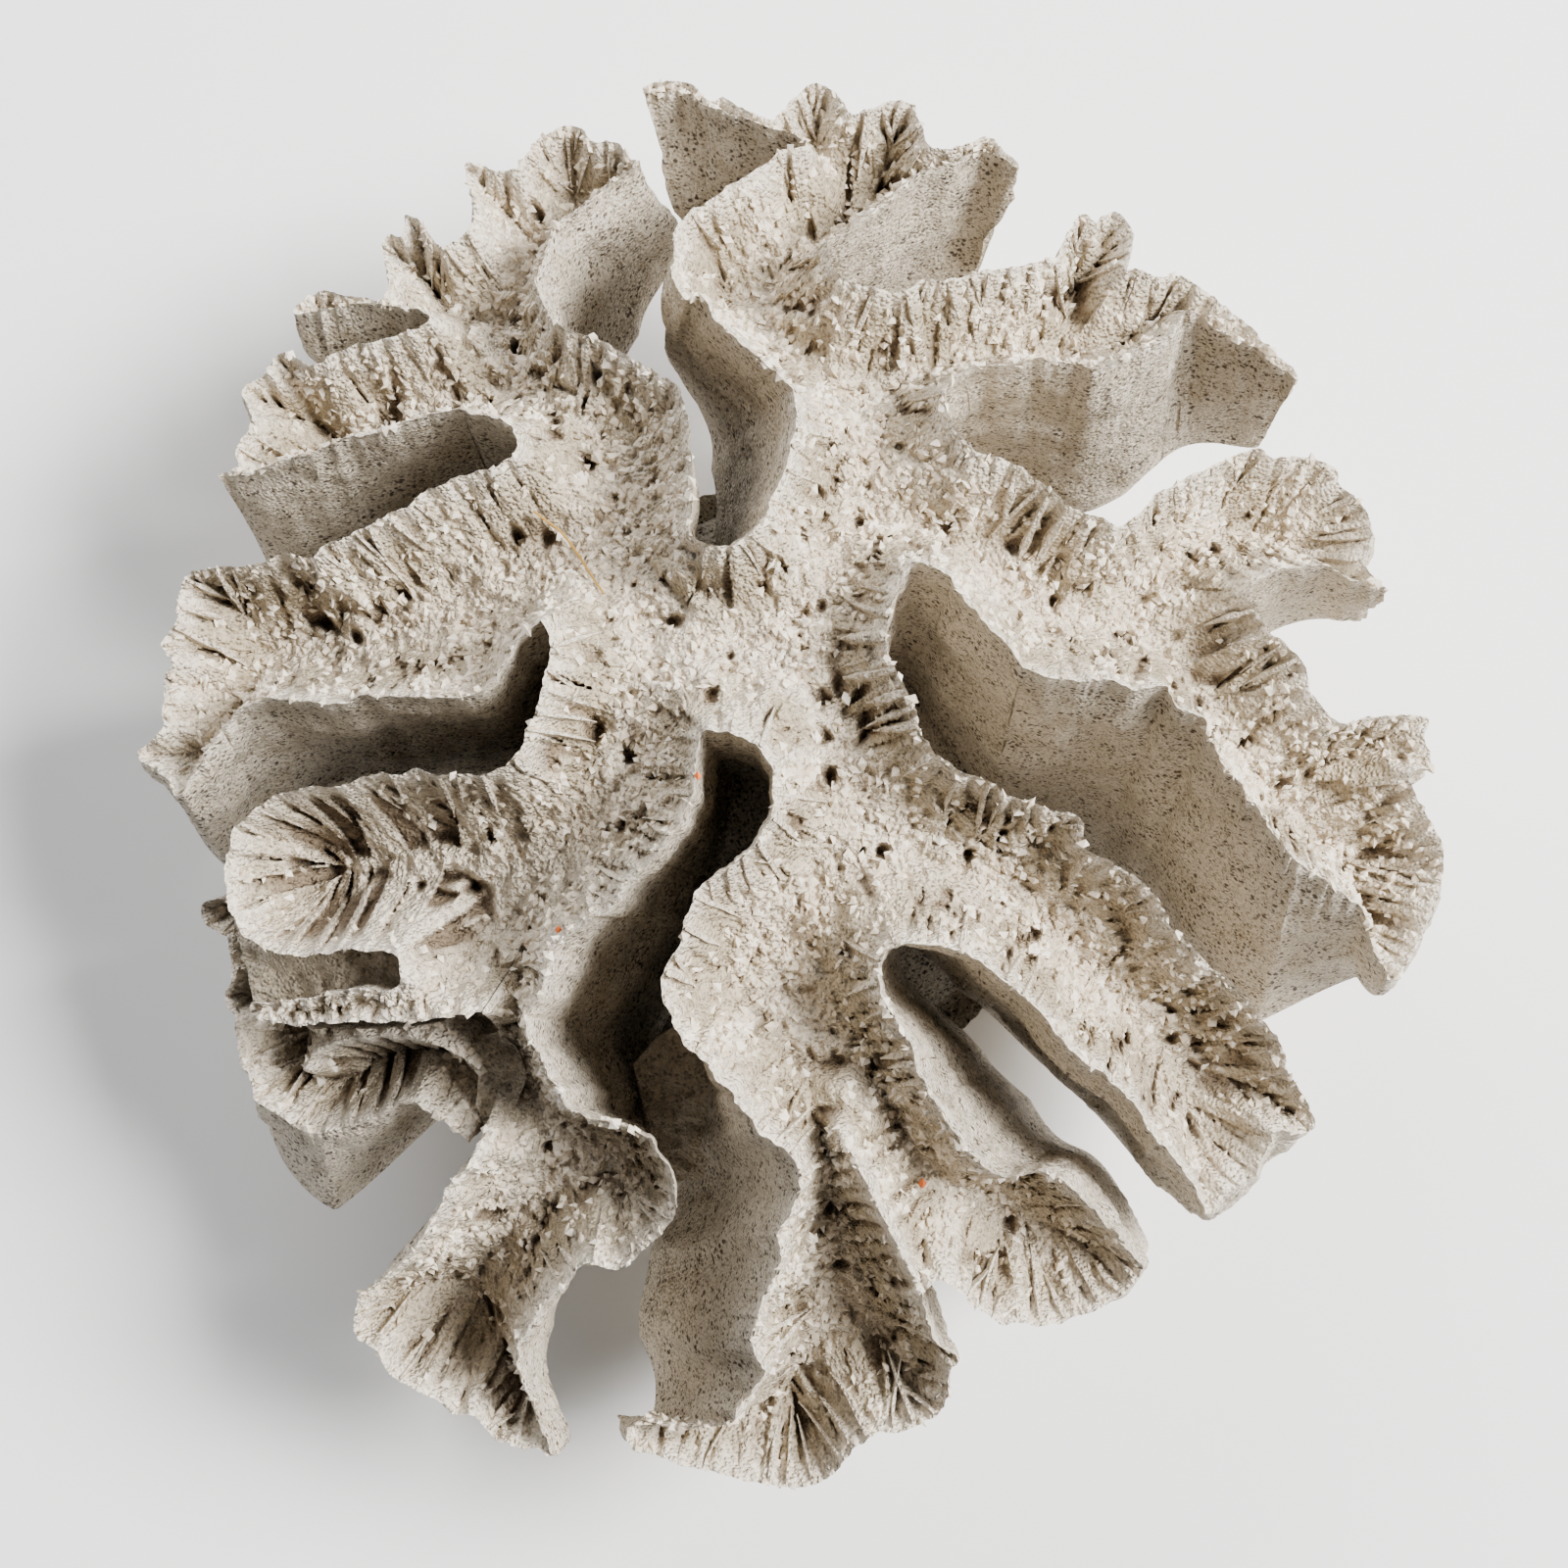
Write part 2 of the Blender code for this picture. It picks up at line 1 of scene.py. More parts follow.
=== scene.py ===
"""Dresses the brain coral skeleton: septate valleys, ribbed walls, grains and its stage."""
import math

import bmesh
import bpy
import numpy as np
from bpy.props import FloatProperty, FloatVectorProperty, IntProperty, PointerProperty
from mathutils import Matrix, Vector, geometry, kdtree


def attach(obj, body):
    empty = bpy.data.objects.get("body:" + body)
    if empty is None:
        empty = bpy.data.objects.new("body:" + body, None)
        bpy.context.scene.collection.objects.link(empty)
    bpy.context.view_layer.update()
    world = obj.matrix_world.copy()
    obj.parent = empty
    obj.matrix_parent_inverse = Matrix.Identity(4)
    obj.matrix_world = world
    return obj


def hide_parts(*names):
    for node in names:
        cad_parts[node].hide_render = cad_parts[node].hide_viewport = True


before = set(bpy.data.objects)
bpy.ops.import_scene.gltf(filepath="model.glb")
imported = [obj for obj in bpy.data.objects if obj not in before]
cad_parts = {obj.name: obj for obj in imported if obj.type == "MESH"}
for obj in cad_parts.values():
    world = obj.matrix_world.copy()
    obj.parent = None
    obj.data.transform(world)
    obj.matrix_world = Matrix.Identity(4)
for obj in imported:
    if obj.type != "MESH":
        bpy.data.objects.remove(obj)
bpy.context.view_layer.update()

bl_info = {
    "name": "Brain Coral Skeleton",
    "version": (1, 0, 0),
    "blender": (4, 5, 0),
    "location": "View3D > Sidebar > Coral",
    "description": "Builds a bleached open brain coral skeleton on a pale stage",
    "category": "Object",
}

# Sizes shared with the solids, in metres, and the powers of their domes
CROWN_LENGTH = 0.187
CREST_HEIGHT = 0.095
RIM_HEIGHT = 0.055
RIM_RADIUS = 0.090
DOME_POWER = 1.8
VALLEY_DEPTH = 0.0160
VALLEY_HALF_WIDTH = 0.0068
STALK_BASE_RADIUS = 0.035
STALK_RADIUS = 0.042
STALK_SIDE_HEIGHT = 0.0075
STALK_DOME_RISE = 0.034
STALK_DOME_POWER = 1.5
STALK_GAP = 0.0006
UNDERSIDE_SLOPE = 0.64
FOOT_TAPER = 0.92
EASE_REACH = 0.003
EASE_FADE = 0.009
LOWER_TIER_DROP = 0.009
SAME_PLACE = 1e-7
SHARP_ANGLE = math.radians(55.0)
FULL_LEAN_RADIUS = 0.07

# The picture that the crest line was read from
PICTURE_CENTRE = (800.0, 800.0)
PICTURE_SIDE = 1600.0
PICTURE_LENGTH = 1436.0
EYE_HEIGHT = 0.42
EYE_PLACE = (-0.00196, -0.0002)

# Crest stretches: places in picture units, then the lean of the wall's foot in mm,
# given at even steps along the stretch
STRETCHES = {
    "north": ([(766, 358), (731, 325), (715, 302), (700, 303), (687, 277), (690, 236), (701, 216), (716, 208),
        (739, 190), (765, 175), (800, 154), (822, 146), (812, 134), (788, 128), (752, 117), (727, 110),
        (704, 95), (668, 92), (655, 91), (665, 82), (704, 84), (727, 99), (737, 96), (752, 108), (786, 119),
        (795, 112), (810, 98), (828, 85), (850, 91), (868, 111), (889, 108), (912, 103), (932, 105),
        (940, 121), (947, 146), (970, 151), (1006, 140), (1021, 147), (1040, 172), (1006, 152), (975, 164),
        (947, 170), (919, 190), (894, 210), (873, 226), (848, 244), (846, 262)],
        [(-9, 6), (-4, 3), (0, -6), (1, -8), (1, -6), (0, -2), (0, -2), (0, -4), (0, -5), (0, -2)]),
    "north_east": ([(863, 285), (889, 293), (917, 295), (940, 287), (970, 282), (1011, 274), (1044, 269),
        (1079, 257), (1102, 221), (1120, 226), (1135, 215), (1153, 229), (1154, 247), (1148, 275),
        (1163, 274), (1179, 280), (1199, 280), (1222, 289), (1240, 300), (1273, 331), (1293, 351),
        (1316, 369), (1326, 385), (1300, 368), (1260, 343), (1217, 318), (1204, 329), (1178, 349),
        (1143, 367), (1117, 377), (1092, 367), (1046, 367), (1000, 374), (985, 380)],
        [(0, -2), (1, -4), (2, -3), (3, -3), (3, -2), (4, -1), (6, -2), (8, -6), (6, -10), (6, -9), (6, -4)]),
    "north_fork": ([(846, 262), (852, 275), (863, 285)],
        [(0, -2), (0, -2)]),
    "east_cleft_head": ([(985, 380), (970, 388), (966, 403), (969, 429), (998, 458), (1030, 469), (1050, 480),
        (1075, 503)],
        [(6, -4), (3, 0), (3, -3), (4, -5)]),
    "east_stem": ([(1075, 503), (1094, 516), (1112, 525)],
        [(4, -5), (4, -5)]),
    "east_fork": ([(1276, 603), (1278, 611), (1284, 618)],
        [(12, -4), (9, -6)]),
    "east_upper": ([(1112, 525), (1143, 534), (1156, 529), (1173, 510), (1204, 492), (1234, 476), (1275, 457),
        (1300, 463), (1337, 468), (1363, 476), (1368, 493), (1392, 519), (1399, 550), (1394, 570),
        (1403, 591), (1419, 605), (1380, 591), (1354, 579), (1317, 579), (1285, 592), (1276, 603)],
        [(4, -5), (5, -4), (7, -3), (7, -1), (8, 0), (10, 0), (11, -2), (12, -4)]),
    "east": ([(1284, 618), (1297, 642), (1314, 655), (1331, 677), (1340, 703), (1360, 731), (1377, 737),
        (1423, 730), (1458, 730), (1455, 754), (1462, 780), (1440, 792), (1452, 820), (1468, 850),
        (1474, 890), (1462, 927), (1446, 965), (1426, 999), (1416, 1002), (1414, 988), (1400, 965),
        (1394, 933), (1374, 913), (1337, 887), (1300, 850), (1236, 756), (1230, 736), (1202, 724),
        (1190, 702), (1162, 702), (1130, 693), (1101, 696), (1044, 681)],
        [(9, -6), (9, -5), (9, -3), (9, -4), (9, -6), (10, -8), (7, -25), (6, -27), (3, -21), (3, -16)]),
    "east_root": ([(1044, 681), (1027, 661), (1007, 635), (989, 615), (972, 590), (946, 574), (929, 578),
        (911, 602), (905, 640), (908, 664), (923, 699)],
        [(3, -16), (1, -12), (1, -5), (1, -3)]),
    "east_cleft_south": ([(923, 699), (935, 730), (949, 756), (972, 780), (1001, 794)],
        [(1, -3), (2, -6), (2, -8)]),
    "south_east": ([(1001, 794), (1038, 815), (1084, 829), (1104, 838), (1110, 866), (1139, 884), (1159, 895),
        (1193, 932), (1199, 950), (1225, 973), (1250, 996), (1271, 1019), (1300, 1054), (1311, 1074),
        (1314, 1094), (1331, 1117), (1343, 1143), (1334, 1155), (1305, 1154), (1294, 1171), (1285, 1192),
        (1251, 1220), (1234, 1238), (1222, 1214), (1205, 1192), (1182, 1160), (1159, 1131), (1127, 1097),
        (1099, 1077), (1070, 1045), (1044, 1016), (1007, 987)],
        [(2, -8), (3, -10), (4, -11), (6, -10), (8, -10), (9, -11), (6, -12), (5, -11), (4, -11)]),
    "south_east_cleft_head": ([(1007, 987), (984, 973), (955, 964), (926, 961), (905, 974), (895, 1001),
        (915, 1039), (929, 1064), (934, 1084)],
        [(4, -11), (3, -5), (7, -6), (15, -9)]),
    "south_south_east": ([(934, 1084), (940, 1103), (961, 1137), (979, 1163), (996, 1183), (1016, 1200),
        (1050, 1198), (1067, 1194), (1102, 1220), (1125, 1246), (1150, 1275), (1167, 1298), (1140, 1325),
        (1100, 1345), (1059, 1353), (1036, 1350), (1022, 1353), (1002, 1338), (979, 1321), (959, 1309),
        (941, 1320)],
        [(15, -9), (16, -6), (15, -8), (13, -11), (9, -8), (6, -6), (4, -5), (3, -6)]),
    "south": ([(941, 1320), (947, 1347), (961, 1375), (977, 1387), (970, 1404), (969, 1421), (959, 1444),
        (936, 1456), (895, 1466), (864, 1487), (850, 1508), (821, 1518), (780, 1516), (752, 1510),
        (703, 1499), (666, 1487), (646, 1476), (638, 1464), (656, 1453), (700, 1459), (735, 1456),
        (749, 1447), (761, 1427), (778, 1404), (768, 1385), (769, 1358), (784, 1312), (798, 1284),
        (795, 1261), (818, 1215), (804, 1177), (780, 1160), (756, 1133), (738, 1105), (698, 1067)],
        [(3, -6), (1, -5), (-1, -6), (-2, -7), (-3, -7), (-10, -11), (-17, -11), (-19, -14), (-16, -14),
         (2, -5)]),
    "south_cleft": ([(698, 1067), (684, 1041), (678, 1016), (678, 995), (692, 967), (704, 927), (724, 898),
        (755, 875), (781, 846), (790, 800), (778, 766), (755, 750), (738, 745), (717, 746), (707, 795),
        (704, 815), (692, 840), (664, 878)],
        [(2, -5), (3, -3), (3, -2), (0, -1), (-1, -4), (2, -4), (4, -5)]),
    "south_west": ([(664, 878), (638, 904), (618, 927), (595, 941), (566, 967), (555, 995), (549, 1016),
        (537, 1044), (546, 1073), (577, 1126), (594, 1137), (626, 1149), (654, 1157), (674, 1177),
        (683, 1195), (692, 1226), (674, 1261), (648, 1284), (626, 1297), (597, 1292), (551, 1338),
        (528, 1378), (534, 1416), (548, 1447), (560, 1479), (568, 1486), (528, 1476), (505, 1470),
        (482, 1444), (459, 1443), (442, 1430), (419, 1419), (399, 1404), (382, 1378), (362, 1362),
        (360, 1350), (367, 1324), (382, 1312), (407, 1289), (436, 1255), (456, 1215), (476, 1192)],
        [(4, -5), (12, -8), (9, -12), (-8, -10), (-10, -10), (-2, -11), (0, -9), (-2, -6), (-4, -5), (-4, -4),
         (-3, -3)]),
    "south_west_lower": ([(470, 1176), (453, 1163), (442, 1153), (425, 1142), (405, 1133), (368, 1150),
        (331, 1162), (302, 1165), (253, 1136), (239, 1104), (230, 1096), (225, 1053), (213, 1024), (222, 998),
        (216, 964), (196, 949), (190, 926), (228, 914)],
        [(-3, -5), (-3, -9), (-6, -17), (-6, -11), (-3, -4), (-2, -2), (-2, -1)]),
    "west_lower": ([(490, 1033), (450, 1040), (410, 1042), (350, 1042), (300, 1045), (262, 1040), (253, 1027),
        (291, 1022), (317, 1016), (371, 1010), (402, 1012), (408, 992), (400, 975), (354, 966), (331, 975),
        (302, 975), (268, 969), (245, 952), (229, 918), (233, 855), (253, 834), (285, 811), (348, 799),
        (411, 788), (446, 790), (489, 790), (515, 782)],
        [(0, 0), (0, 0), (0, 0), (0, -3), (0, -3), (0, 0), (-1, -3), (-3, -8), (-3, -5)]),
    "west_cleft_head": ([(515, 782), (529, 762), (543, 733), (556, 693), (560, 655), (552, 633)],
        [(-3, -5), (-1, -4), (-1, -6)]),
    "west": ([(552, 633), (526, 656), (503, 693), (474, 710), (417, 710), (374, 710), (331, 719), (291, 713),
        (245, 722), (215, 760), (184, 812), (167, 793), (142, 773), (142, 765), (162, 747), (167, 724),
        (166, 690), (175, 676), (163, 656), (176, 633), (183, 598), (192, 584), (216, 578), (253, 577),
        (282, 567), (314, 567), (331, 558), (374, 536), (403, 521), (431, 502), (460, 490), (497, 478),
        (522, 466)],
        [(-1, -6), (-3, -9), (-4, -10), (-6, -14), (-6, -6), (-6, -3), (-6, -4), (-5, -5), (-3, -5)]),
    "north_west_fork": ([(424, 335), (435, 330), (436, 322), (427, 315)],
        [(-3, -4), (-3, -5)]),
    "west_upper_cleft": ([(522, 466), (526, 452), (523, 437), (500, 424), (469, 417)],
        [(-3, -5), (-2, -4), (-3, -5)]),
    "west_upper": ([(469, 417), (446, 420), (417, 429), (377, 443), (331, 455), (302, 466), (256, 479),
        (222, 486), (240, 476), (242, 455), (258, 422), (245, 403), (253, 389), (268, 383), (286, 362),
        (320, 369), (357, 353), (383, 347), (424, 335)],
        [(-3, -5), (-5, -9), (-6, -12), (-6, -4), (-5, -3), (-4, -4), (-3, -4)]),
    "north_west": ([(427, 315), (396, 310), (342, 312), (306, 320), (304, 308), (327, 296), (350, 298),
        (386, 306), (396, 290), (388, 254), (398, 237), (410, 239), (414, 217), (428, 223), (439, 246),
        (457, 250), (484, 218), (476, 170), (510, 172), (527, 170), (543, 147), (563, 134), (579, 128),
        (594, 131), (604, 142), (628, 145), (640, 161), (651, 165), (619, 187), (594, 210), (579, 218),
        (561, 236), (553, 264), (548, 290), (558, 320), (579, 338)],
        [(-3, -5), (-5, -8), (-4, -3), (-3, -1), (-2, 0), (-1, 1), (-1, 2), (5, 2), (7, 0), (0, -2)]),
    "north_west_root": ([(579, 338), (599, 341), (619, 348), (645, 364), (679, 384), (698, 409), (704, 440)],
        [(0, -2), (-3, 0), (-5, 4)]),
    "north_cleft_head": ([(704, 440), (707, 498), (702, 538), (724, 556), (755, 552), (776, 532), (796, 489),
        (804, 466), (813, 427), (809, 398), (792, 378), (766, 358)],
        [(-5, 4), (-4, 4), (-5, 3), (-10, 3), (-12, 4), (-9, 6)]),
}

# Inside places where pieces meet, in picture units, each with its lean in mm
SOUTH_FORK = ((850, 1125), (3, -7))
SOUTH_WEST_FORK = ((528, 890), (-1, -4))
LOWER_CORNER = ((487, 1050), (0, 0))
LOWER_STEP = [(place, (0, 0)) for place in (
    (236, 935), (238, 962), (244, 985), (238, 1015), (242, 1048), (262, 1056), (300, 1060), (410, 1056))]

# Each piece of the crown: the stretches round it, and the inside places between them
LOBES = {
    "crown_centre": ["north_fork", "east_cleft_head", "east_root", "east_cleft_south",
                     "south_east_cleft_head", SOUTH_FORK, "south_cleft", SOUTH_WEST_FORK,
                     "west_cleft_head", "west_upper_cleft", "north_west_fork",
                     "north_west_root", "north_cleft_head"],
    "north_lobe": ["north"],
    "north_east_lobe": ["north_east"],
    "east_upper_lobe": ["east_upper"],
    "east_lobe": ["east", "east_stem", "east_fork"],
    "south_east_lobe": ["south_east"],
    "south_south_east_lobe": ["south_south_east", SOUTH_FORK],
    "south_lobe": ["south", SOUTH_FORK],
    "south_west_lobe": ["south_west", LOWER_CORNER, SOUTH_WEST_FORK],
    "south_west_lower_lobe": ["south_west_lower", *LOWER_STEP, LOWER_CORNER],
    "west_lower_lobe": ["west_lower", SOUTH_WEST_FORK],
    "west_lobe": ["west"],
    "west_upper_lobe": ["west_upper"],
    "north_west_lobe": ["north_west"],
}
LOWER_TIER = ["south_west_lower"]

# Heights of the wall rings, as shares of the way from the crest to the foot
RIM_LEVELS = [0.012, 0.03, 0.06]
WALL_LEVELS = list(np.linspace(0.085, 1.0, 30))

# A golden fibre, and orange flecks: place in picture units, lift and size in metres
FIBRE = [(545, 522), (560, 534), (575, 546), (590, 566), (602, 585), (616, 606)]
FLECKS = [((712, 792), 0.0002, 0.0005), ((941, 1207), 0.0008, 0.0006), ((570, 949), 0.0004, 0.0005)]

# Webs of stone in slots: places in picture units, depth below the crest and thickness in metres
WEBS = {
    "west_slot_floor": ([(225, 940), (262, 962), (300, 968), (340, 968), (405, 966), (416, 990),
                         (408, 1022), (350, 1026), (300, 1032), (250, 1038)], 0.0085, 0.004),
    "lower_corner_floor": ([(476, 1068), (498, 1062), (518, 1080), (528, 1110), (512, 1150), (486, 1168),
                            (474, 1140), (478, 1100)], 0.0125, 0.004),
    "south_cleft_floor": ([(628, 1120), (652, 1092), (701, 1058), (746, 1092), (742, 1160), (728, 1215),
                           (706, 1250), (672, 1255), (645, 1200)], 0.040, 0.004),
}

# Where the septa are large plates: place in picture units, reach in metres, share
BOLD_REGIONS = [
    ((320, 880), 0.015, 1.0), ((420, 900), 0.012, 1.0), ((370, 1100), 0.010, 1.0), ((520, 850), 0.009, 0.7),
    ((860, 890), 0.006, 0.7), ((450, 1400), 0.011, 0.8), ((790, 1460), 0.010, 0.8), ((480, 560), 0.009, 0.6),
    ((1250, 1140), 0.009, 0.6), ((1120, 1290), 0.008, 0.5),
]

# Painted shade: valleys that lie in deep shade, darkened brown in their colour: place in picture units, reach
# in metres, share
PAINTED_SHADE_REGIONS = [
    ((255, 1100), 0.007, 0.9), ((225, 1000), 0.008, 0.9), ((205, 935), 0.005, 0.6), ((800, 1465), 0.009, 0.7),
    ((740, 1480), 0.007, 0.7), ((470, 1410), 0.006, 0.8), ((440, 1380), 0.006, 0.6),
    ((1250, 1115), 0.007, 0.5), ((1120, 1290), 0.006, 0.5), ((985, 865), 0.006, 0.5),
    ((335, 870), 0.006, 0.4), ((530, 930), 0.006, 0.5), ((900, 1170), 0.007, 0.5), ((905, 1240), 0.007, 0.5),
    ((600, 1180), 0.006, 0.4), ((480, 480), 0.006, 0.4), ((980, 520), 0.006, 0.4), ((1400, 880), 0.006, 0.4),
]

# Where septa stand boldest: place in picture units, reach in metres, gain
BLADE_REGIONS = [
    ((360, 900), 0.016, 0.9), ((330, 860), 0.010, 0.4), ((540, 560), 0.008, 0.6), ((540, 800), 0.008, 0.6),
    ((820, 880), 0.009, 0.7), ((920, 700), 0.008, 0.6), ((470, 1370), 0.012, 0.7), ((780, 1450), 0.012, 0.7),
    ((1100, 290), 0.014, 0.5), ((980, 500), 0.012, 0.4), ((1250, 540), 0.014, 0.5),
]

# Raised valley floor: place in picture units, radius and rise in metres
SAND = [
    ((690, 690), 0.011, 0.0050), ((800, 640), 0.013, 0.0035), ((790, 720), 0.007, 0.0060),
    ((600, 660), 0.007, 0.0035), ((960, 950), 0.006, 0.0045), ((640, 930), 0.006, 0.0040),
    ((560, 400), 0.007, 0.0030), ((880, 420), 0.008, 0.0030),
]

# Ridges between valleys inside the pieces, in picture units
RIDGES = [[(862, 1165), (880, 1200), (905, 1250), (925, 1290), (941, 1320)]]
LOWER_RIDGES = [[(296, 1100), (310, 1080), (345, 1067), (395, 1064), (440, 1075), (480, 1100), (505, 1130)]]

# Thin walls whose tops are solid: place in picture units, reach in metres, share
SOLID_TOPS = [((300, 1033), 0.0055, 0.85), ((350, 1029), 0.0055, 0.85), ((400, 1030), 0.0055, 0.8)]

# Pits in the valley floors: place in picture units, radius and depth in mm
PITS = [
    ((599, 469), 1.1, 3.5), ((687, 633), 1.2, 4.0), ((606, 745), 1.5, 4.5), ((642, 773), 1.3, 3.5),
    ((526, 544), 1.2, 4.0), ((560, 545), 1.2, 3.0), ((839, 713), 1.5, 3.5), ((842, 752), 1.2, 3.5),
    ((847, 793), 1.3, 3.0), ((899, 869), 1.2, 4.0), ((880, 868), 0.6, 3.0), ((1075, 615), 0.9, 3.0),
    ((1141, 647), 1.0, 3.0), ((331, 635), 1.3, 4.0), ((362, 648), 1.1, 3.5), ((549, 219), 1.0, 3.5),
    ((463, 402), 0.8, 2.5), ((525, 352), 1.1, 3.0), ((1035, 555), 1.3, 2.5), ((838, 620), 1.0, 2.5),
    ((1240, 560), 1.0, 2.5), ((1085, 300), 0.9, 2.5), ((878, 532), 0.9, 2.5), ((989, 872), 1.1, 3.5),
    ((1056, 955), 1.1, 3.0), ((1195, 1060), 1.2, 3.0), ((1030, 1250), 1.2, 3.0), ((858, 1290), 1.2, 3.5),
    ((846, 1236), 1.0, 3.0), ((300, 880), 1.0, 3.0), ((428, 905), 1.0, 3.0), ((480, 905), 1.2, 3.5),
    ((500, 1240), 1.5, 3.0), ((560, 1170), 1.2, 3.0), ((1272, 757), 0.9, 3.0), ((745, 670), 0.8, 2.0),
    ((806, 1386), 0.9, 3.5), ((640, 545), 0.9, 2.0), ((1310, 800), 1.2, 2.5), ((610, 380), 0.8, 2.5),
]

# Places along a crest are read off a smooth line, then evened out, in metres
LINE_STEP = 0.0004
CREST_STEP = 0.0003

# Where the count of septa starts: how far on from the last stretch, and at ridges, in metres
STRETCH_GAP = 0.4
RIDGE_START = 20

# Distances from the crest, in metres: where parts of the valley start, and how far they fade
WALL_START = (0.0, 0.0014)
WALL_END = (0.0058, 0.0030)
PLATE_END = (0.0085, 0.002)
FLOOR_START = (0.0035, 0.0035)
CUP_START = (0.002, 0.002)
CUP_END = (0.008, 0.004)
GRAIN_START = (0.0, 0.002)
# Where the painted shade of the deeply shaded valleys starts, and how far it fades in
PAINTED_SHADE_START = (0.0, 0.003)
SAND_START = (0.0, 0.006)
CRUMB_REACH = 0.0014
EDGE_REACH = 0.0016
EDGE_END = 0.0035

# Turns and scales of crystals: least, most and seed
CRYSTAL_TURNS = ((0.0, 0.0, 0.0), (6.28, 6.28, 6.28), 3)
CRYSTAL_SCALES = ((0.28, 0.28, 0.28), (1.4, 1.4, 1.2), 5)

# Reliefs in metres, the slant of septa towards the rim, and the spacing of bold plates
TOOTH_HEIGHT = 0.0005
CUP_SHARE = (0.5, 0.4)
CUP_DEPTH = 0.0015
LUMP_HEIGHT = 0.0010
CRUMB_HEIGHT = 0.0009
BLOTCH_HEIGHT = 0.0009
CREST_ROUGHNESS = 0.00034
CREST_END_FADE = 0.002
SEPTUM_SLANT = 0.6
SEPTUM_STEPS = 0.0008
SEPTUM_DRIFT = 0.0004
PLATE_SPACING = 0.0037

# Every noise: its size in metres, or in ribs for the ribs, its seed and its layers
NOISES = {
    "crest_x": (0.0022, 51, 3), "crest_y": (0.0022, 53, 3),
    "septum_steps": (0.005, 1, 1), "septum_drift": (0.003, 0, 1), "boldness": (0.016, 61, 2),
    "teeth": (0.0024, 25, 1), "streaks": (0.0009, 3, 1), "streak_strength": (0.003, 4, 1),
    "patches": (0.011, 5, 2), "blotches": (0.0055, 23, 2), "pit_edges": (0.0009, 21, 1),
    "holes": (0.0021, 7, 1), "small_holes": (0.0013, 8, 1), "lumps": (0.0016, 9, 1),
    "dunes": (0.0032, 11, 2), "sugar": (0.00078, 13, 1), "fine_sugar": (0.00042, 15, 1),
    "crumbs": (0.0017, 17, 1), "fine_crumbs": (0.0009, 19, 1), "clumps": (0.0045, 64, 1),
    "wall_swell": (0.012, 31, 2), "wall_grit": (0.0016, 35, 1), "wall_lumps": (0.0046, 37, 2),
    "ribs": (1.0, 33, 1),
    "web": (0.0042, 81, 3), "web_grit": (0.0011, 83, 1), "web_streaks": (0.0011, 85, 1),
    "stalk_swell": (0.012, 34, 3), "dome_grit": (0.0015, 36, 2),
}

# Outer walls: reliefs in metres; the underside's points are this far apart
WALL_SWELL = 0.0009
RIB_HEIGHT = 0.00008
WALL_GRIT = 0.00022
WALL_LUMPS = 0.00038
UNDERSIDE_STEP = 0.0026

# Thin septa: measures in metres, and how bold a place has to be to carry one
BLADE_THRESHOLD = 0.2
BLADE_LENGTHS = (0.0030, 0.0062)
BLADE_HALF_WIDTHS = (0.00018, 0.00034)
BLADE_START = 0.0003
BLADE_SWAY = 0.00035
BLADE_ROOT = 0.0012

# Webs of stone in slots: spacing of their points, and their reliefs, in metres
WEB_EDGE_STEP = 0.0006
WEB_STEP = 0.0005
WEB_SWELL = 0.0011
WEB_GRIT = 0.0004
WEB_STREAK = 0.00035

# The fibre over the valley: its radius, sides, and lift along its length, in metres
FIBRE_RADIUS = 0.00017
FIBRE_SIDES = 5
FIBRE_LIFTS = (0.0003, 0.0028, 0.0026, 0.0012, 0.0014, 0.0004)

# The dressed stalk flares a little past its solid, in metres
STALK_POINTS = 360
STALK_FLARE = 0.0095
STALK_FLARE_HEIGHT = 0.0105
STALK_DOME_RADIUS = 0.041
STALK_EDGE_HEIGHT = 0.0115
STALK_RIBS = 110
STALK_RIB_HEIGHT = 0.00015
STALK_SWELL = 0.0011
DOME_GRIT = 0.0002

# Noises of the stone's finish: scale, detail and roughness
GRAINS = {
    "broad": (38.0, 3.0, 0.55), "medium": (210.0, 3.0, 0.55), "fine": (900.0, 3.0, 0.65),
    "patchy": (1300.0, 2.0, 0.6), "sandy": (2600.0, 2.0, 0.7), "crumbs": (640.0, 4.0, 0.7),
}

# Dark specks: scale of their cells, size in a cell, how many are left out, and strength
SPECKS = [(800.0, 0.34, 0.53, 1.0), (1300.0, 0.40, 0.47, 0.9), (2300.0, 0.42, 0.42, 0.6)]

# Bumps of the stone's finish, in metres: height of crystals, size of their cells, height of crumbs
CRYSTAL_BUMP = 0.00042
CRYSTAL_CELLS = 1700.0
CRUMB_BUMP = 0.0006
WALL_BUMP_SHARE = 0.4

# The stage: soft lights with their place and side in metres, watts and colour
LIGHTS = [("window", (0.90, 0.24, 1.12), 0.6, 74.0, (1.0, 0.985, 0.96)),
          ("room_north", (-0.50, 1.08, 0.82), 0.9, 20.0, (0.97, 0.98, 1.0))]
ROOM_STRENGTH = 0.09
FLOOR_SIDE = 4.0


def length(name, default, description):
    return FloatProperty(name=name, default=default, description=description, unit="LENGTH")


def colour(name, default, description):
    return FloatVectorProperty(name=name, default=default, description=description, size=3, subtype="COLOR")


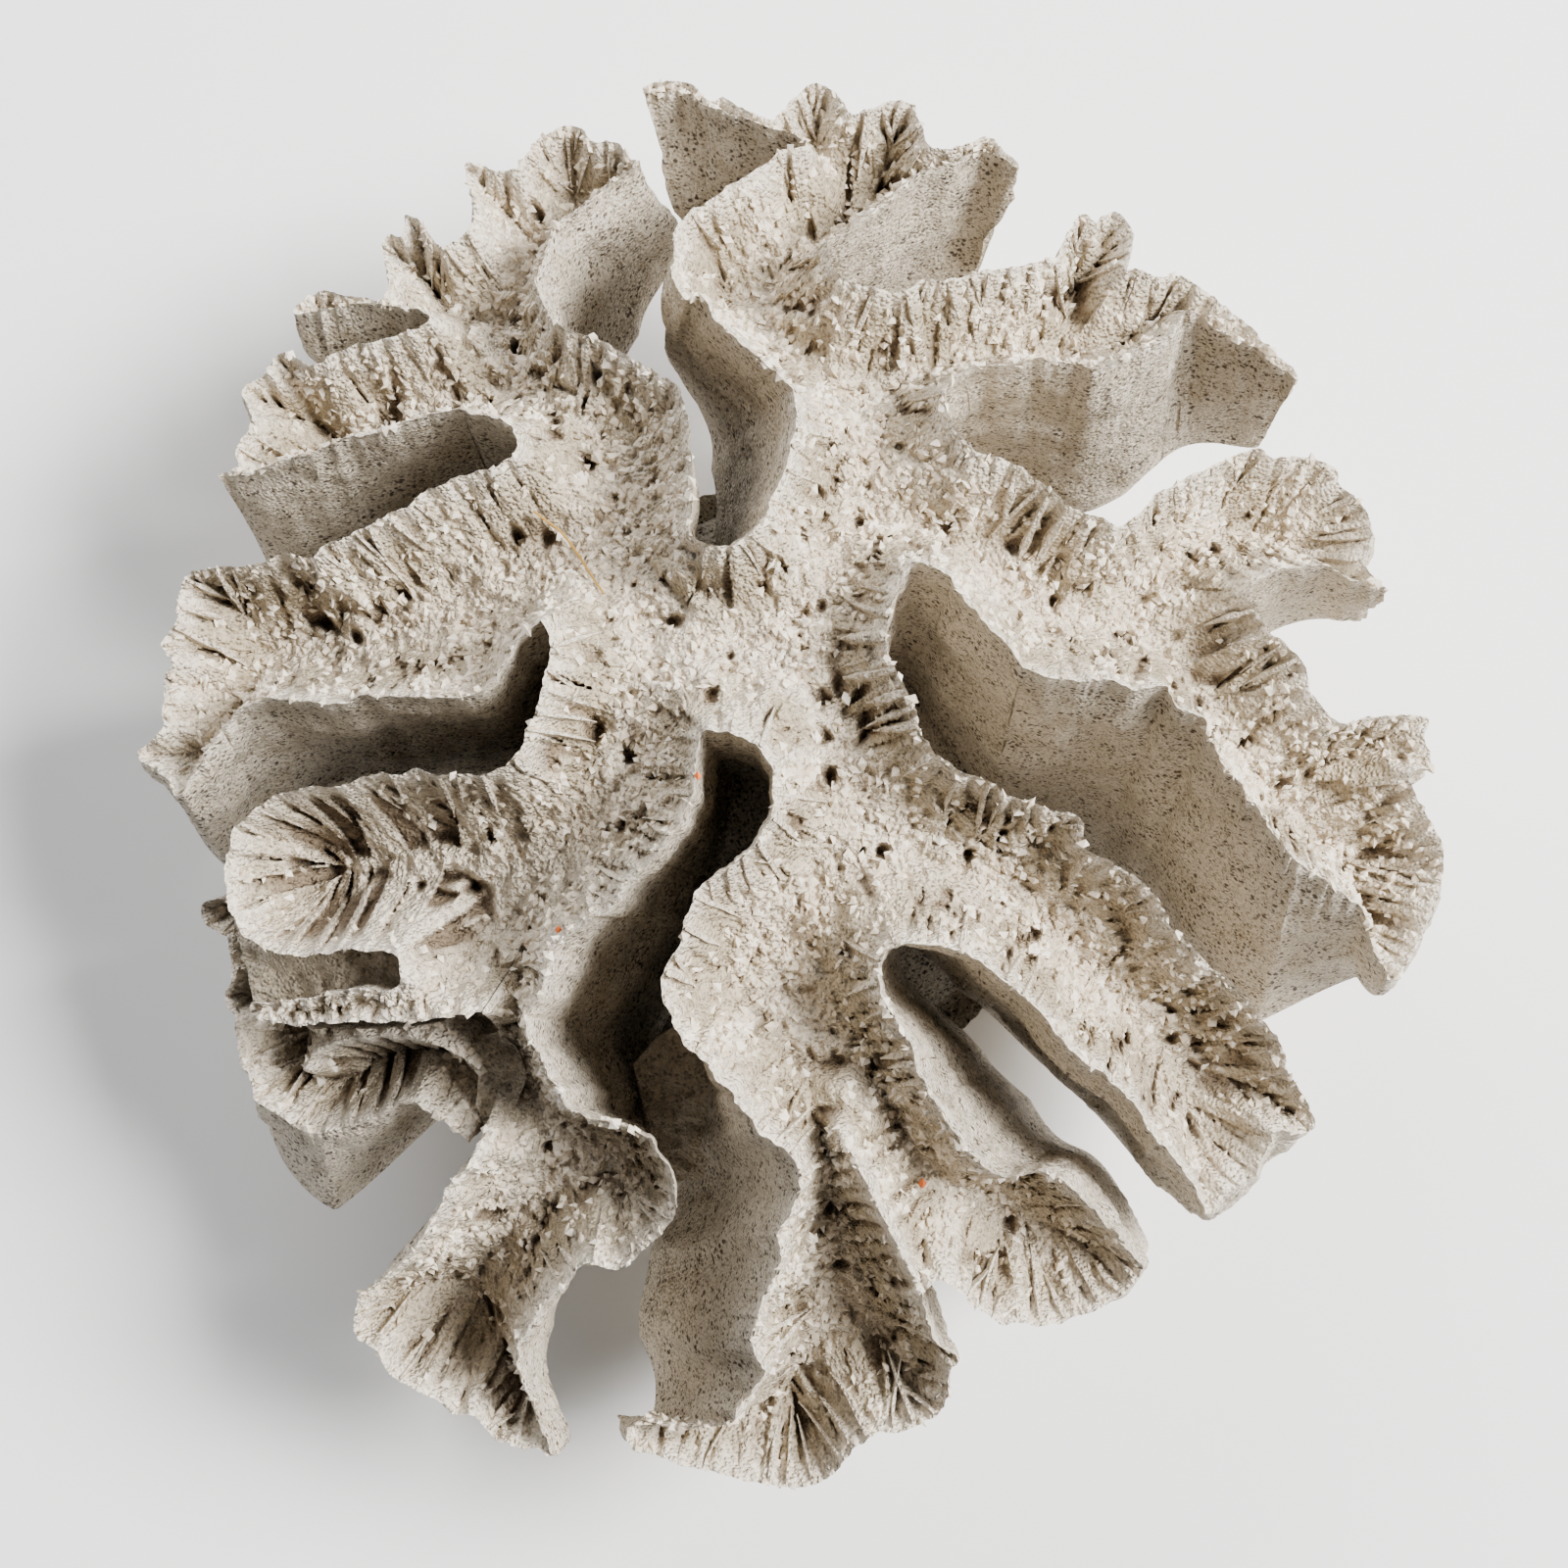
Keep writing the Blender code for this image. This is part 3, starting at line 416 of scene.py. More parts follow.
class CoralSizes(bpy.types.PropertyGroup):
    """Sizes and colours of the coral's surface"""

    surface_step: length("Surface Step", 0.00029, "Spacing of the surface's points")
    septum_spacing: length("Septum Spacing", 0.00145, "Distance between septa along a crest")
    septum_relief: length("Septum Relief", 0.0024, "Depth of the gaps between septa")
    grain_relief: length("Grain Relief", 0.00036, "Height of the sugary bumps")
    rib_spacing: length("Rib Spacing", 0.00095, "Distance between ribs on the outer walls")
    blade_height: length("Blade Height", 0.0007, "Height of the thin septa")
    grain_size: length("Grain Size", 0.00075, "Width of a crystal grain")
    valley_lean: FloatProperty(name="Valley Lean", default=0.36,
                               description="Outward lean of the valleys at the rim")
    grain_density: FloatProperty(name="Grain Density", default=950000.0,
                                 description="Grains on a square metre of valley")
    seed: IntProperty(name="Seed", default=7, description="Seed of everything irregular")
    cream: colour("Cream", (0.72, 0.615, 0.475), "Colour of the valleys")
    crest_white: colour("Crest White", (0.87, 0.79, 0.665), "Colour of the crests")
    wall_grey: colour("Wall Grey", (0.61, 0.545, 0.445), "Colour of the outer walls")
    # Brown of random grains, and painted shade in pits, cups and between septa
    brown_grain_and_gap_shade: colour("Gap Brown", (0.16, 0.11, 0.065), "Colour in pits and between septa")
    # Olive of stained patches and of the valley walls' tint, also painted shade in the shaded valleys and on
    # slot floors
    olive_stain_and_shade: colour("Stain Olive", (0.40, 0.325, 0.21), "Colour of the stained patches")
    speck_dark: colour("Speck", (0.05, 0.035, 0.025), "Colour of the dark specks")


def sizes():
    return bpy.context.scene.coral_sizes


def crest_height(radius):
    """Height of the crests over the plan: a low dome."""
    return CREST_HEIGHT - (CREST_HEIGHT - RIM_HEIGHT) * (radius / RIM_RADIUS) ** DOME_POWER


def foot_height(radius):
    """Height of the lobes' undersides: on the stalk, then rising outwards as a cone."""
    on_stalk = STALK_DOME_RISE * (1 - (np.minimum(radius, STALK_RADIUS) / STALK_RADIUS) ** STALK_DOME_POWER)
    beyond = UNDERSIDE_SLOPE * np.maximum(radius - STALK_RADIUS, 0.0)
    return STALK_SIDE_HEIGHT + STALK_GAP + on_stalk + beyond


def plan_place(picture_place):
    """The crest's plan place for a place in the picture, seen from the eye."""
    unit = CROWN_LENGTH / PICTURE_LENGTH / (EYE_HEIGHT - RIM_HEIGHT)
    seen = np.array([picture_place[0] - PICTURE_CENTRE[0], PICTURE_CENTRE[1] - picture_place[1]]) * unit
    height = RIM_HEIGHT
    for _ in range(12):
        place = np.array(EYE_PLACE) + seen * (EYE_HEIGHT - height)
        height = crest_height(np.hypot(*place))
    return place


def spline(points, step):
    """Places about a step apart on a smooth curve through the given points."""
    ends = np.vstack([points[0] * 2 - points[1], points, points[-1] * 2 - points[-2]])
    places = []
    for a, b, c, d in zip(ends, ends[1:], ends[2:], ends[3:]):
        count = max(1, round(np.hypot(*(c - b)) / step))
        t = (np.arange(count) / count)[:, None]
        places.append(0.5 * (2 * b + (c - a) * t + (2 * a - 5 * b + 4 * c - d) * t * t
                             + (3 * b - a - 3 * c + d) * t ** 3))
    return np.vstack(places + [points[-1]])


def even_steps(places, step):
    """The same line with its places spaced evenly, about a step apart."""
    travelled = np.concatenate([[0.0], np.cumsum(np.hypot(*np.diff(places, axis=0).T))])
    wanted = np.linspace(0.0, travelled[-1], max(2, round(travelled[-1] / step) + 1))
    return np.column_stack([np.interp(wanted, travelled, places[:, i]) for i in (0, 1)]), wanted


def eased(places, step):
    """The line smoothed over EASE_REACH, with its ends held."""
    count = min(len(places) - 1, round(3 * EASE_REACH / step))
    before = 2 * places[0] - places[count:0:-1]
    after = 2 * places[-1] - places[-2:-count - 2:-1]
    line = np.vstack([before, places, after])
    weights = np.exp(-0.5 * (np.arange(-count, count + 1) * step / EASE_REACH) ** 2)
    weights /= weights.sum()
    smooth = np.column_stack([np.convolve(line[:, i], weights, "valid") for i in (0, 1)])
    gone = np.arange(len(places)) * step
    return places + (smooth - places) * ramp(np.minimum(gone, gone[-1] - gone), 0.0, EASE_FADE)[:, None]


class Row:
    """A run of outline places with their leans and the distance along the whole crest."""

    def __init__(self, place, lean, along, on_crest, plain=None):
        self.place, self.lean, self.along, self.on_crest = place, lean, along, on_crest
        self.plain = place if plain is None else plain

    def parts(self, last=None):
        """The row's arrays, in the order that a Row takes them."""
        return [part[:last] for part in (self.place, self.lean, self.along, self.on_crest, self.plain)]


def smooth_line(picture_places, step):
    """Evenly spaced plan places on a smooth line through picture places, and the distance gone."""
    return even_steps(spline(np.array([plan_place(p) for p in picture_places]), LINE_STEP), step)


def stretch_row(name, step):
    """Crest places of a stretch, the lean of the wall's foot at each, and the distance gone."""
    points, leans = STRETCHES[name]
    places, gone = smooth_line(points, step)
    at = gone / gone[-1] * (len(leans) - 1)
    lean = np.column_stack([np.interp(at, range(len(leans)), [l[i] for l in leans]) for i in (0, 1)]) / 1000
    start = STRETCH_GAP * list(STRETCHES).index(name)
    ends = ramp(np.minimum(gone, gone[-1] - gone), 0.0, CREST_END_FADE)[:, None]
    ragged = np.column_stack([noise("crest_x", places), noise("crest_y", places)])
    rough = places + CREST_ROUGHNESS * ends * ragged
    return Row(rough, lean, gone + start, np.ones(len(places), bool), eased(places, step))


def outline(lobe, step):
    """The closed outline of a lobe as one Row, with its cuts filled in."""
    parts = []
    for item in LOBES[lobe]:
        if isinstance(item, str):
            parts.append(stretch_row(item, step))
        else:
            place, lean = plan_place(item[0])[None], np.array([item[1]]) / 1000
            parts.append(Row(place, lean, np.zeros(1), np.zeros(1, bool)))
    runs = []
    for index, part in enumerate(parts):
        after = parts[(index + 1) % len(parts)]
        runs.append(part)
        apart = np.hypot(*(after.place[0] - part.place[-1]))
        if apart < SAME_PLACE:
            runs[-1] = Row(*part.parts(-1))
            continue
        count = max(1, round(apart / step))
        t = (np.arange(1, count) / count)[:, None]
        fill = part.place[-1] + (after.place[0] - part.place[-1]) * t
        lean = part.lean[-1] + (after.lean[0] - part.lean[-1]) * t
        runs.append(Row(fill, lean, np.zeros(len(t)), np.zeros(len(t), bool)))
    return Row(*(np.concatenate(pieces) for pieces in zip(*(run.parts() for run in runs))))


def lattice_noise(points, scale, seed):
    """Smooth noise from -1 to 1 at each point, with features of the given scale."""
    table = np.random.RandomState(seed).uniform(-1, 1, 65536)
    spots = np.asarray(points) / scale
    if spots.shape[1] > 1:
        turn = 0.7 + 2.4 * seed
        x, y = spots[:, 0].copy(), spots[:, 1].copy()
        spots[:, 0] = x * math.cos(turn) - y * math.sin(turn) + 0.37 * seed
        spots[:, 1] = x * math.sin(turn) + y * math.cos(turn)
    low = np.floor(spots).astype(np.int64)
    part = spots - low
    part = part * part * (3 - 2 * part)
    total = np.zeros(len(spots))
    primes = (73856093, 19349663, 83492791)
    for corner in range(2 ** spots.shape[1]):
        weight = np.ones(len(spots))
        key = np.zeros(len(spots), np.int64)
        for axis in range(spots.shape[1]):
            bit = corner >> axis & 1
            weight *= part[:, axis] if bit else 1 - part[:, axis]
            key ^= (low[:, axis] + bit) * primes[axis]
        total += weight * table[key & 65535]
    return total


def layered_noise(points, scale, seed, layers=3):
    """Noise with finer layers of less strength added."""
    total = np.zeros(len(points))
    for layer in range(layers):
        total += lattice_noise(points, scale / 2 ** layer, seed + layer) / 1.7 ** layer
    return total


def noise(name, points):
    """One of the named noises at each point, about -1 to 1."""
    scale, seed, layers = NOISES[name]
    return layered_noise(points, scale, sizes().seed + seed, layers)


def ramp(values, start, length):
    """0 up to the start, rising evenly to 1 over the length."""
    return np.clip((values - start) / length, 0.0, 1.0)


def tree_of(places):
    """A tree that finds the nearest of the places."""
    tree = kdtree.KDTree(len(places))
    for index, (x, y) in enumerate(places):
        tree.insert((x, y, 0.0), index)
    tree.balance()
    return tree


def sand_rise(places):
    """How far sand and overgrowth lift the valley floor."""
    rise = np.zeros(len(places))
    for picture_place, radius, lift in SAND:
        away = np.hypot(*(places - plan_place(picture_place)).T)
        rise = np.maximum(rise, lift * np.exp(-(away / radius) ** 2))
    return rise


def share_of(regions, places):
    """How far each place is inside the regions, from 0 to 1."""
    share = np.zeros(len(places))
    for picture_place, reach, gain in regions:
        away = np.hypot(*(places - plan_place(picture_place)).T) / reach
        share = np.maximum(share, gain * np.exp(-away ** 4))
    return share


def septum_phase(places, along):
    """Distance along the crest, a little uneven, that the septa keep step with."""
    steps = SEPTUM_STEPS * noise("septum_steps", along[:, None])
    return along + steps + SEPTUM_DRIFT * noise("septum_drift", places)


class Crests:
    """The crest line of one tier, for the shape of the valleys between."""

    def __init__(self, names, drop):
        rows = [stretch_row(name, CREST_STEP) for name in names]
        for number, points in enumerate(LOWER_RIDGES if drop else RIDGES):
            places, gone = smooth_line(points, CREST_STEP)
            rows.append(Row(places, None, gone + RIDGE_START + number, None))
        self.drop = drop
        self.place = np.vstack([row.place for row in rows])
        self.along = np.concatenate([row.along for row in rows])
        self.tangent = np.vstack([np.gradient(row.place, axis=0) for row in rows])
        self.tangent /= np.hypot(*self.tangent.T)[:, None]
        self.tree = tree_of(self.place)
        self.wells = [(self.under(place), radius, depth) for place, radius, depth in PITS]

    def nearest(self, places):
        found = [self.tree.find((x, y, 0.0)) for x, y in places]
        return np.array([f[2] for f in found]), np.array([f[1] for f in found])

    def profile(self, places):
        """The bare valley: its height, its depth below the crest, and the nearest crest."""
        away, index = self.nearest(places)
        top = crest_height(np.hypot(*places.T)) - self.drop
        depth = VALLEY_DEPTH * np.tanh(away / VALLEY_HALF_WIDTH) * (1 - share_of(SOLID_TOPS, places))
        depth -= sand_rise(places) * ramp(away, *SAND_START)
        return top - depth, depth, away, index

    def leaned(self, places, depth):
        """The places moved towards the middle with their depth: the lobes lean outwards."""
        radius = np.hypot(*places.T)
        lean = sizes().valley_lean * np.minimum(radius / FULL_LEAN_RADIUS, 1.0) * np.maximum(depth, 0.0)
        return places * (1 - lean / np.maximum(radius, 1e-4))[:, None]

    def under(self, picture_place):
        """The plan place whose valley surface is seen at a place of the picture."""
        target = plan_place(picture_place)
        reach = EYE_HEIGHT - crest_height(np.hypot(*target))
        place = target.copy()
        for _ in range(10):
            height, depth, _, _ = self.profile(place[None])
            flat = self.leaned(place[None], depth)[0]
            seen = EYE_PLACE + (flat - EYE_PLACE) * reach / (EYE_HEIGHT - height[0])
            place += 0.7 * (target - seen)
        return place

    def surface(self, places):
        """The leaned places, their heights, and how far each layer of the finish holds there."""
        props = sizes()
        height, depth, away, index = self.profile(places)
        outwards = places / np.maximum(np.hypot(*places.T), 1e-6)[:, None]
        towards_rim = (self.tangent[index] * outwards).sum(axis=1)
        # Septa: fine teeth on coarse ridges, broken into streaks and patches
        slanted = septum_phase(places, self.along[index]) - SEPTUM_SLANT * towards_rim * away
        order = slanted / props.septum_spacing
        fine = np.abs(2 * ((order + 0.5 * noise("teeth", places)) % 1.0) - 1)
        coarse = np.abs(2 * (order / 2 % 1.0) - 1)
        streak = noise("streaks", slanted[:, None])
        streak *= 0.7 + 0.5 * noise("streak_strength", places)
        patch = np.clip(0.5 + 0.8 * noise("patches", places), 0.0, 1.0)
        rise = ramp(away, *WALL_START)
        wall = rise * (1 - ramp(away, *WALL_END))
        gap = np.clip(0.4 * fine + 0.9 * coarse ** 1.6 - 0.2 + 0.35 * streak, 0.0, 1.3)
        # Bold regions: large plates in place of the fine septa
        bold = share_of(BOLD_REGIONS, places)
        leaf = (slanted + 0.5 * towards_rim * away + 0.0004 * streak) / PLATE_SPACING % 1.0
        plates = np.minimum(leaf ** 1.9, (1 - leaf) * 6)
        gap = gap * (1 - 0.9 * bold) + 1.9 * plates * bold
        wall = np.maximum(wall, rise * bold * (1 - ramp(away, *PLATE_END)))
        carved = wall * (0.42 + 0.75 * np.maximum(patch, bold)) * gap
        rim_teeth = (1 - rise) * (0.5 * fine + 0.5 * coarse + 0.8 * np.abs(streak))
        # The floor: cups, lumps, sugar and crumbs
        cups = ramp(-noise("holes", places) - 0.6 * noise("small_holes", places), *CUP_SHARE)
        cups *= ramp(away, *CUP_START) * np.clip(1.5 - (away - CUP_END[0]) / CUP_END[1], 0.25, 1)
        lumps = 0.35 * (1 - 2 * np.abs(noise("lumps", places))) + 0.65 * noise("dunes", places)
        sugar = 1 - 2.2 * np.abs(noise("sugar", places)) + 0.6 * noise("fine_sugar", places)
        crumbs = np.maximum(noise("crumbs", places) + 0.7 * noise("fine_crumbs", places), 0)
        blotch = noise("blotches", places) * (1 - 0.7 * bold)
        pits, pit_mask = self.pits(places)
        height -= props.septum_relief * carved
        height -= TOOTH_HEIGHT * rim_teeth
        height -= CUP_DEPTH * cups * (1 - 0.5 * wall)
        height += LUMP_HEIGHT * ramp(away, *FLOOR_START) * lumps
        height += CRUMB_HEIGHT * crumbs * np.exp(-away / CRUMB_REACH)
        height += BLOTCH_HEIGHT * wall * blotch
        height += props.grain_relief * sugar * (0.35 + 0.65 * ramp(away, *GRAIN_START)) * (1 - 0.4 * wall)
        height -= pits
        # Shares of the finish's layers. The gap share is painted shade: darker where septa and cups are
        # carved deeper, and in the pits
        painted_gap_shade = np.clip(1.15 * carved - 0.25 + 0.65 * cups - 0.25 * blotch * wall, 0.0, 1.0)
        edge = np.clip(1.2 - away / EDGE_REACH + 0.8 * crumbs, 0.0, 1.0) * (away < EDGE_END)
        # Olive tint on the valley walls near the crest, stronger in the gaps between septa
        stain = wall * np.clip(0.5 + 0.5 * patch + 0.3 * gap - 0.9 * blotch, 0.0, 1.0) * (1 - 0.6 * bold)
        # Painted shade in the deeply shaded valleys, carried by the gap share and the olive tint share
        painted_shade = share_of(PAINTED_SHADE_REGIONS, places) * ramp(away, *PAINTED_SHADE_START)
        painted_gap_shade = np.maximum(painted_gap_shade, painted_shade * (0.5 + 0.4 * lumps))
        layers = {"inner": 1.0, "gap": np.maximum(painted_gap_shade, pit_mask), "edge": edge,
                  "stain": np.maximum(stain, painted_shade), "bare": np.maximum(bold, 1.5 * pit_mask)}
        return self.leaned(places, depth), height, layers

    def pits(self, places):
        """How deep the pits are at each place, and the share of painted shade in them."""
        deep, mask = np.zeros(len(places)), np.zeros(len(places))
        ragged = 1 + 0.35 * noise("pit_edges", places)
        for middle, radius, depth in self.wells:
            away = np.hypot(*(places - middle).T) / (radius / 1000) * ragged
            well = np.clip(1 - away, 0.0, 1.0) ** 0.6
            deep = np.maximum(deep, well * depth / 1000)
            mask = np.maximum(mask, np.clip(well * 1.6, 0.0, 1.0))
        return deep, mask


def inside(places, polygon):
    """Whether each place is inside a closed polygon."""
    within = np.zeros(len(places), bool)
    x, y = places.T
    for a, b in zip(polygon, np.roll(polygon, -1, axis=0)):
        if a[1] == b[1]:
            continue
        crosses = (a[1] > y) != (b[1] > y)
        within ^= crosses & (x < a[0] + (y - a[1]) / (b[1] - a[1]) * (b[0] - a[0]))
    return within


def inner_places(polygon, step):
    """A staggered grid of places inside the polygon, clear of its line."""
    low, high = polygon.min(axis=0), polygon.max(axis=0)
    columns = np.arange(low[0], high[0], step)
    rows = np.arange(low[1], high[1], step * 0.866)
    x, y = np.meshgrid(columns, rows)
    x[1::2] += step / 2
    places = np.column_stack([x.ravel(), y.ravel()])
    places = places[inside(places, polygon)]
    tree = tree_of(polygon)
    clear = np.array([tree.find((px, py, 0.0))[2] > 0.6 * step for px, py in places], bool)
    return places[clear]


def fill(polygon, extra):
    """Triangles that fill the polygon through the extra places."""
    points = [Vector(p) for p in np.vstack([polygon, extra])]
    edges = [(i, (i + 1) % len(polygon)) for i in range(len(polygon))]
    found = geometry.delaunay_2d_cdt(points, edges, [], 1, 1e-8)
    if len(found[0]) != len(points):
        raise ValueError("an outline crosses itself")
    order = np.array([ids[0] for ids in found[3]])
    return order[np.array(found[2])]


def mesh_object(name, points, faces, layers, surface):
    """A new object from arrays, with layers of one number or one for each point."""
    mesh = bpy.data.meshes.new(name)
    mesh.vertices.add(len(points))
    mesh.vertices.foreach_set("co", np.ascontiguousarray(points, np.float32).ravel())
    mesh.loops.add(faces.size)
    mesh.loops.foreach_set("vertex_index", faces.ravel())
    mesh.polygons.add(len(faces))
    mesh.polygons.foreach_set("loop_start", np.arange(0, faces.size, 3))
    mesh.update(calc_edges=True)
    for layer, values in layers.items():
        values = np.full(len(points), values, np.float32)
        mesh.attributes.new(layer, "FLOAT", "POINT").data.foreach_set("value", values)
    mesh.shade_smooth()
    mesh.set_sharp_from_angle(angle=SHARP_ANGLE)
    if surface:
        mesh.materials.append(surface)
    made = bpy.data.objects.new(name, mesh)
    bpy.context.scene.collection.objects.link(made)
    return made


def wall_rings(row, top, foot, low, levels):
    """Rings of points from the crest down to the foot, ribbed on the outer side."""
    side = np.roll(row.place, -1, axis=0) - np.roll(row.place, 1, axis=0)
    out = np.column_stack([-side[:, 1], side[:, 0]])
    out /= np.maximum(np.hypot(*out.T), 1e-9)[:, None]
    rings = []
    for share in levels:
        flat = row.place + (foot - row.place) * share
        height = top + (low - top) * share
        deep = np.column_stack([flat, height])
        streaks = np.column_stack([row.along / sizes().rib_spacing, np.full(len(top), 3 * share)])
        push = WALL_SWELL * noise("wall_swell", deep) + RIB_HEIGHT * (1 - 2 * np.abs(noise("ribs", streaks)))
        rough = WALL_GRIT * noise("wall_grit", deep)
        rough += WALL_LUMPS * noise("wall_lumps", deep)
        blend = np.clip(share * 8, 0.0, 1.0) * np.clip((1 - share) * 12, 0.0, 1.0)
        push = (push + rough) * blend * row.on_crest
        rings.append(np.column_stack([flat + out * push[:, None], height]))
    return rings


def ring_faces(left, right, right_below, left_below):
    """Two triangles for each square between two rings."""
    return [np.column_stack([left, right, right_below]), np.column_stack([left, right_below, left_below])]


def tube_faces(base, rings, sides):
    """Triangles of a closed tube: its rings' squares, then a fan over each end."""
    last = base + sides * (rings - 1)
    faces = []
    for start in range(base, last, sides):
        for k in range(sides):
            a, b = start + k, start + (k + 1) % sides
            faces += [(a, b, b + sides), (a, b + sides, a + sides)]
    for k in range(1, sides - 1):
        faces += [(base, base + k + 1, base + k), (last, last + k, last + k + 1)]
    return faces


def make_lobe(lobe, crests, surface):
    """One lobe: the septate valley on top, ribbed walls, and the underside."""
    step = sizes().surface_step
    row = outline(lobe, step)
    extra = inner_places(row.place, step)
    top_faces = fill(row.place, extra)
    flat, height, shares = crests.surface(np.vstack([row.place, extra]))
    count, total = len(row.place), len(flat)
    top = height[:count]
    foot = row.plain * FOOT_TAPER + row.lean
    row.place = flat[:count]
    rings = wall_rings(row, top, foot, foot_height(np.hypot(*foot.T)), RIM_LEVELS + WALL_LEVELS)
    near, kept = len(RIM_LEVELS), np.arange(0, count, 2)
    rings[near:] = [ring[kept] for ring in rings[near:]]
    points = [np.column_stack([flat, height]), *rings]
    starts = [0, *(total + np.cumsum([0] + [len(ring) for ring in rings[:-1]]))]
    faces = [top_faces]
    for number, (upper, lower) in enumerate(zip(starts, starts[1:])):
        here = np.arange(count if number < near else len(kept))
        after = np.roll(here, -1)
        if number != near:
            faces += ring_faces(upper + here, upper + after, lower + after, lower + here)
            continue
        middle = np.minimum(kept + 1, count - 1)
        left, right = upper + kept, upper + kept[after]
        twice = middle != kept
        faces.append(np.column_stack([left, upper + middle, lower + here])[twice])
        left = np.where(twice, upper + middle, left)
        faces += ring_faces(left, right, lower + after, lower + here)
    under = inner_places(foot[kept], UNDERSIDE_STEP)
    found = fill(foot[kept], under)
    base = sum(len(group) for group in points)
    points.append(np.column_stack([under, foot_height(np.hypot(*under.T))]))
    found = np.where(found < len(kept), found + starts[-1], found - len(kept) + base)
    faces.append(found[:, ::-1])
    points, faces = np.vstack(points), np.vstack(faces).astype(np.int32)
    layers = {}
    for name, share in shares.items():
        layers[name] = np.zeros(len(points))
        layers[name][:total] = share
    layers["inner"][:count] = 0.6
    layers["edge"][total:total + 2 * count] = 0.7
    made = mesh_object(lobe + "_surface", points, faces, layers, surface)
    corrected = bmesh.new()
    corrected.from_mesh(made.data)
    bmesh.ops.recalc_face_normals(corrected, faces=corrected.faces)
    corrected.to_mesh(made.data)
    corrected.free()
    return made


def make_septa(label, crests, names, surface):
    """Thin septa that run down the valley walls from the crest, each a closed strip."""
    props = sizes()
    chance = np.random.RandomState(props.seed)
    points, faces = [], []
    stations = np.linspace(0.0, 1.0, 10)
    for name in names:
        row = stretch_row(name, CREST_STEP)
        order = septum_phase(row.place, row.along) / (2 * props.septum_spacing)
        tangent = np.gradient(row.place, axis=0)
        tangent /= np.maximum(np.hypot(*tangent.T), 1e-9)[:, None]
        inward = np.column_stack([tangent[:, 1], -tangent[:, 0]])
        radial = row.place / np.maximum(np.hypot(*row.place.T), 1e-6)[:, None]
        slant = SEPTUM_SLANT * (tangent * radial).sum(axis=1)
        boldness = 0.5 + 0.7 * noise("boldness", row.place)
        plated = share_of(BOLD_REGIONS, row.place)
        for region, reach, gain in BLADE_REGIONS:
            near = np.hypot(*(row.place - plan_place(region)).T) / reach
            boldness += gain * np.exp(-near ** 2)
        for i in np.nonzero(np.diff(np.floor(order + 0.5)))[0]:
            bold = boldness[i] + chance.uniform(-0.45, 0.45) - 2.0 * plated[i]
            if bold < BLADE_THRESHOLD:
                continue
            length = chance.uniform(*BLADE_LENGTHS) * min(1.15, 0.5 + 0.5 * bold)
            down = BLADE_START + length * stations
            sway = BLADE_SWAY * chance.uniform(-1, 1) * np.sin(stations * 3.0 + chance.uniform(0, 6))
            for shortened in (False, True):
                across = (slant[i] * down + sway)[:, None]
                path = row.place[i] + inward[i] * down[:, None] + tangent[i] * across
                height, depth, away, _ = crests.profile(path)
                if shortened:
                    break
                free = away > 0.72 * down
                if free.all() or not free[:3].all():
                    break
                down = BLADE_START + 0.9 * (down[np.argmin(free) - 1] - BLADE_START) * stations
            if not free[:3].all():
                continue
            path = crests.leaned(path, depth)
            swell = np.sin(np.clip(stations * 1.05 + 0.14, 0, 1) * math.pi) ** 0.5
            ragged = chance.uniform(0.25, 1.3, len(stations))
            rise = props.blade_height * min(1.8, 0.4 + bold) * swell * ragged
            half = chance.uniform(*BLADE_HALF_WIDTHS) * max(0.8, 1.1 * bold - 0.2) * (0.35 + swell)
            half = half * chance.uniform(0.7, 1.3, len(stations))
            base = len(points)
            for j in range(len(stations)):
                corners = (-1.5, -BLADE_ROOT), (-0.7, rise[j]), (0.7, rise[j]), (1.5, -BLADE_ROOT)
                for sideways, lift in corners:
                    spot = path[j] + tangent[i] * sideways * half[j]
                    points.append((spot[0], spot[1], height[j] + lift))
            faces += tube_faces(base, len(stations), len(corners))
    tip = np.tile([0.0, 1.0, 1.0, 0.0], len(points) // 4)
    # The blades' feet take the gap share: painted shade where each blade meets the wall; their tips are
    # whiter
    layers = {"inner": 1.0, "gap": 0.25 * (1 - tip), "edge": 0.55 * tip, "stain": 0.3}
    return mesh_object(label, np.array(points), np.array(faces, np.int32), layers, surface)


def make_web(name, picture_places, depth, thickness, surface):
    """A web of stone between two walls, seen as the floor of a narrow slot."""
    line = np.array([plan_place(p) for p in picture_places + picture_places[:1]])
    ring = even_steps(line, WEB_EDGE_STEP)[0][:-1]
    flat = np.vstack([ring, inner_places(ring, WEB_STEP)])
    rough = WEB_SWELL * noise("web", flat) + WEB_GRIT * noise("web_grit", flat)
    streak = noise("web_streaks", flat @ np.array([[0.5], [0.87]]))
    top = crest_height(np.hypot(*flat.T)) - depth + rough + WEB_STREAK * streak
    faces = fill(ring, flat[len(ring):])
    count, total = len(ring), len(flat)
    here, after = np.arange(count), np.roll(np.arange(count), -1)
    sides = np.vstack(ring_faces(here, after, after + total, here + total))
    anticlockwise = area_sign(ring) >= 0
    faces = np.vstack([faces, faces[:, ::-1] + total, sides[:, ::-1] if anticlockwise else sides])
    points = np.vstack([np.column_stack([flat, top]), np.column_stack([flat, top - thickness])])
    # The olive tint and gap shares darken the web: painted shade on the slot's floor
    layers = {"inner": 0.8, "gap": 0.3, "edge": 0.0, "stain": 0.75}
    return mesh_object(name, points, faces.astype(np.int32), layers, surface)


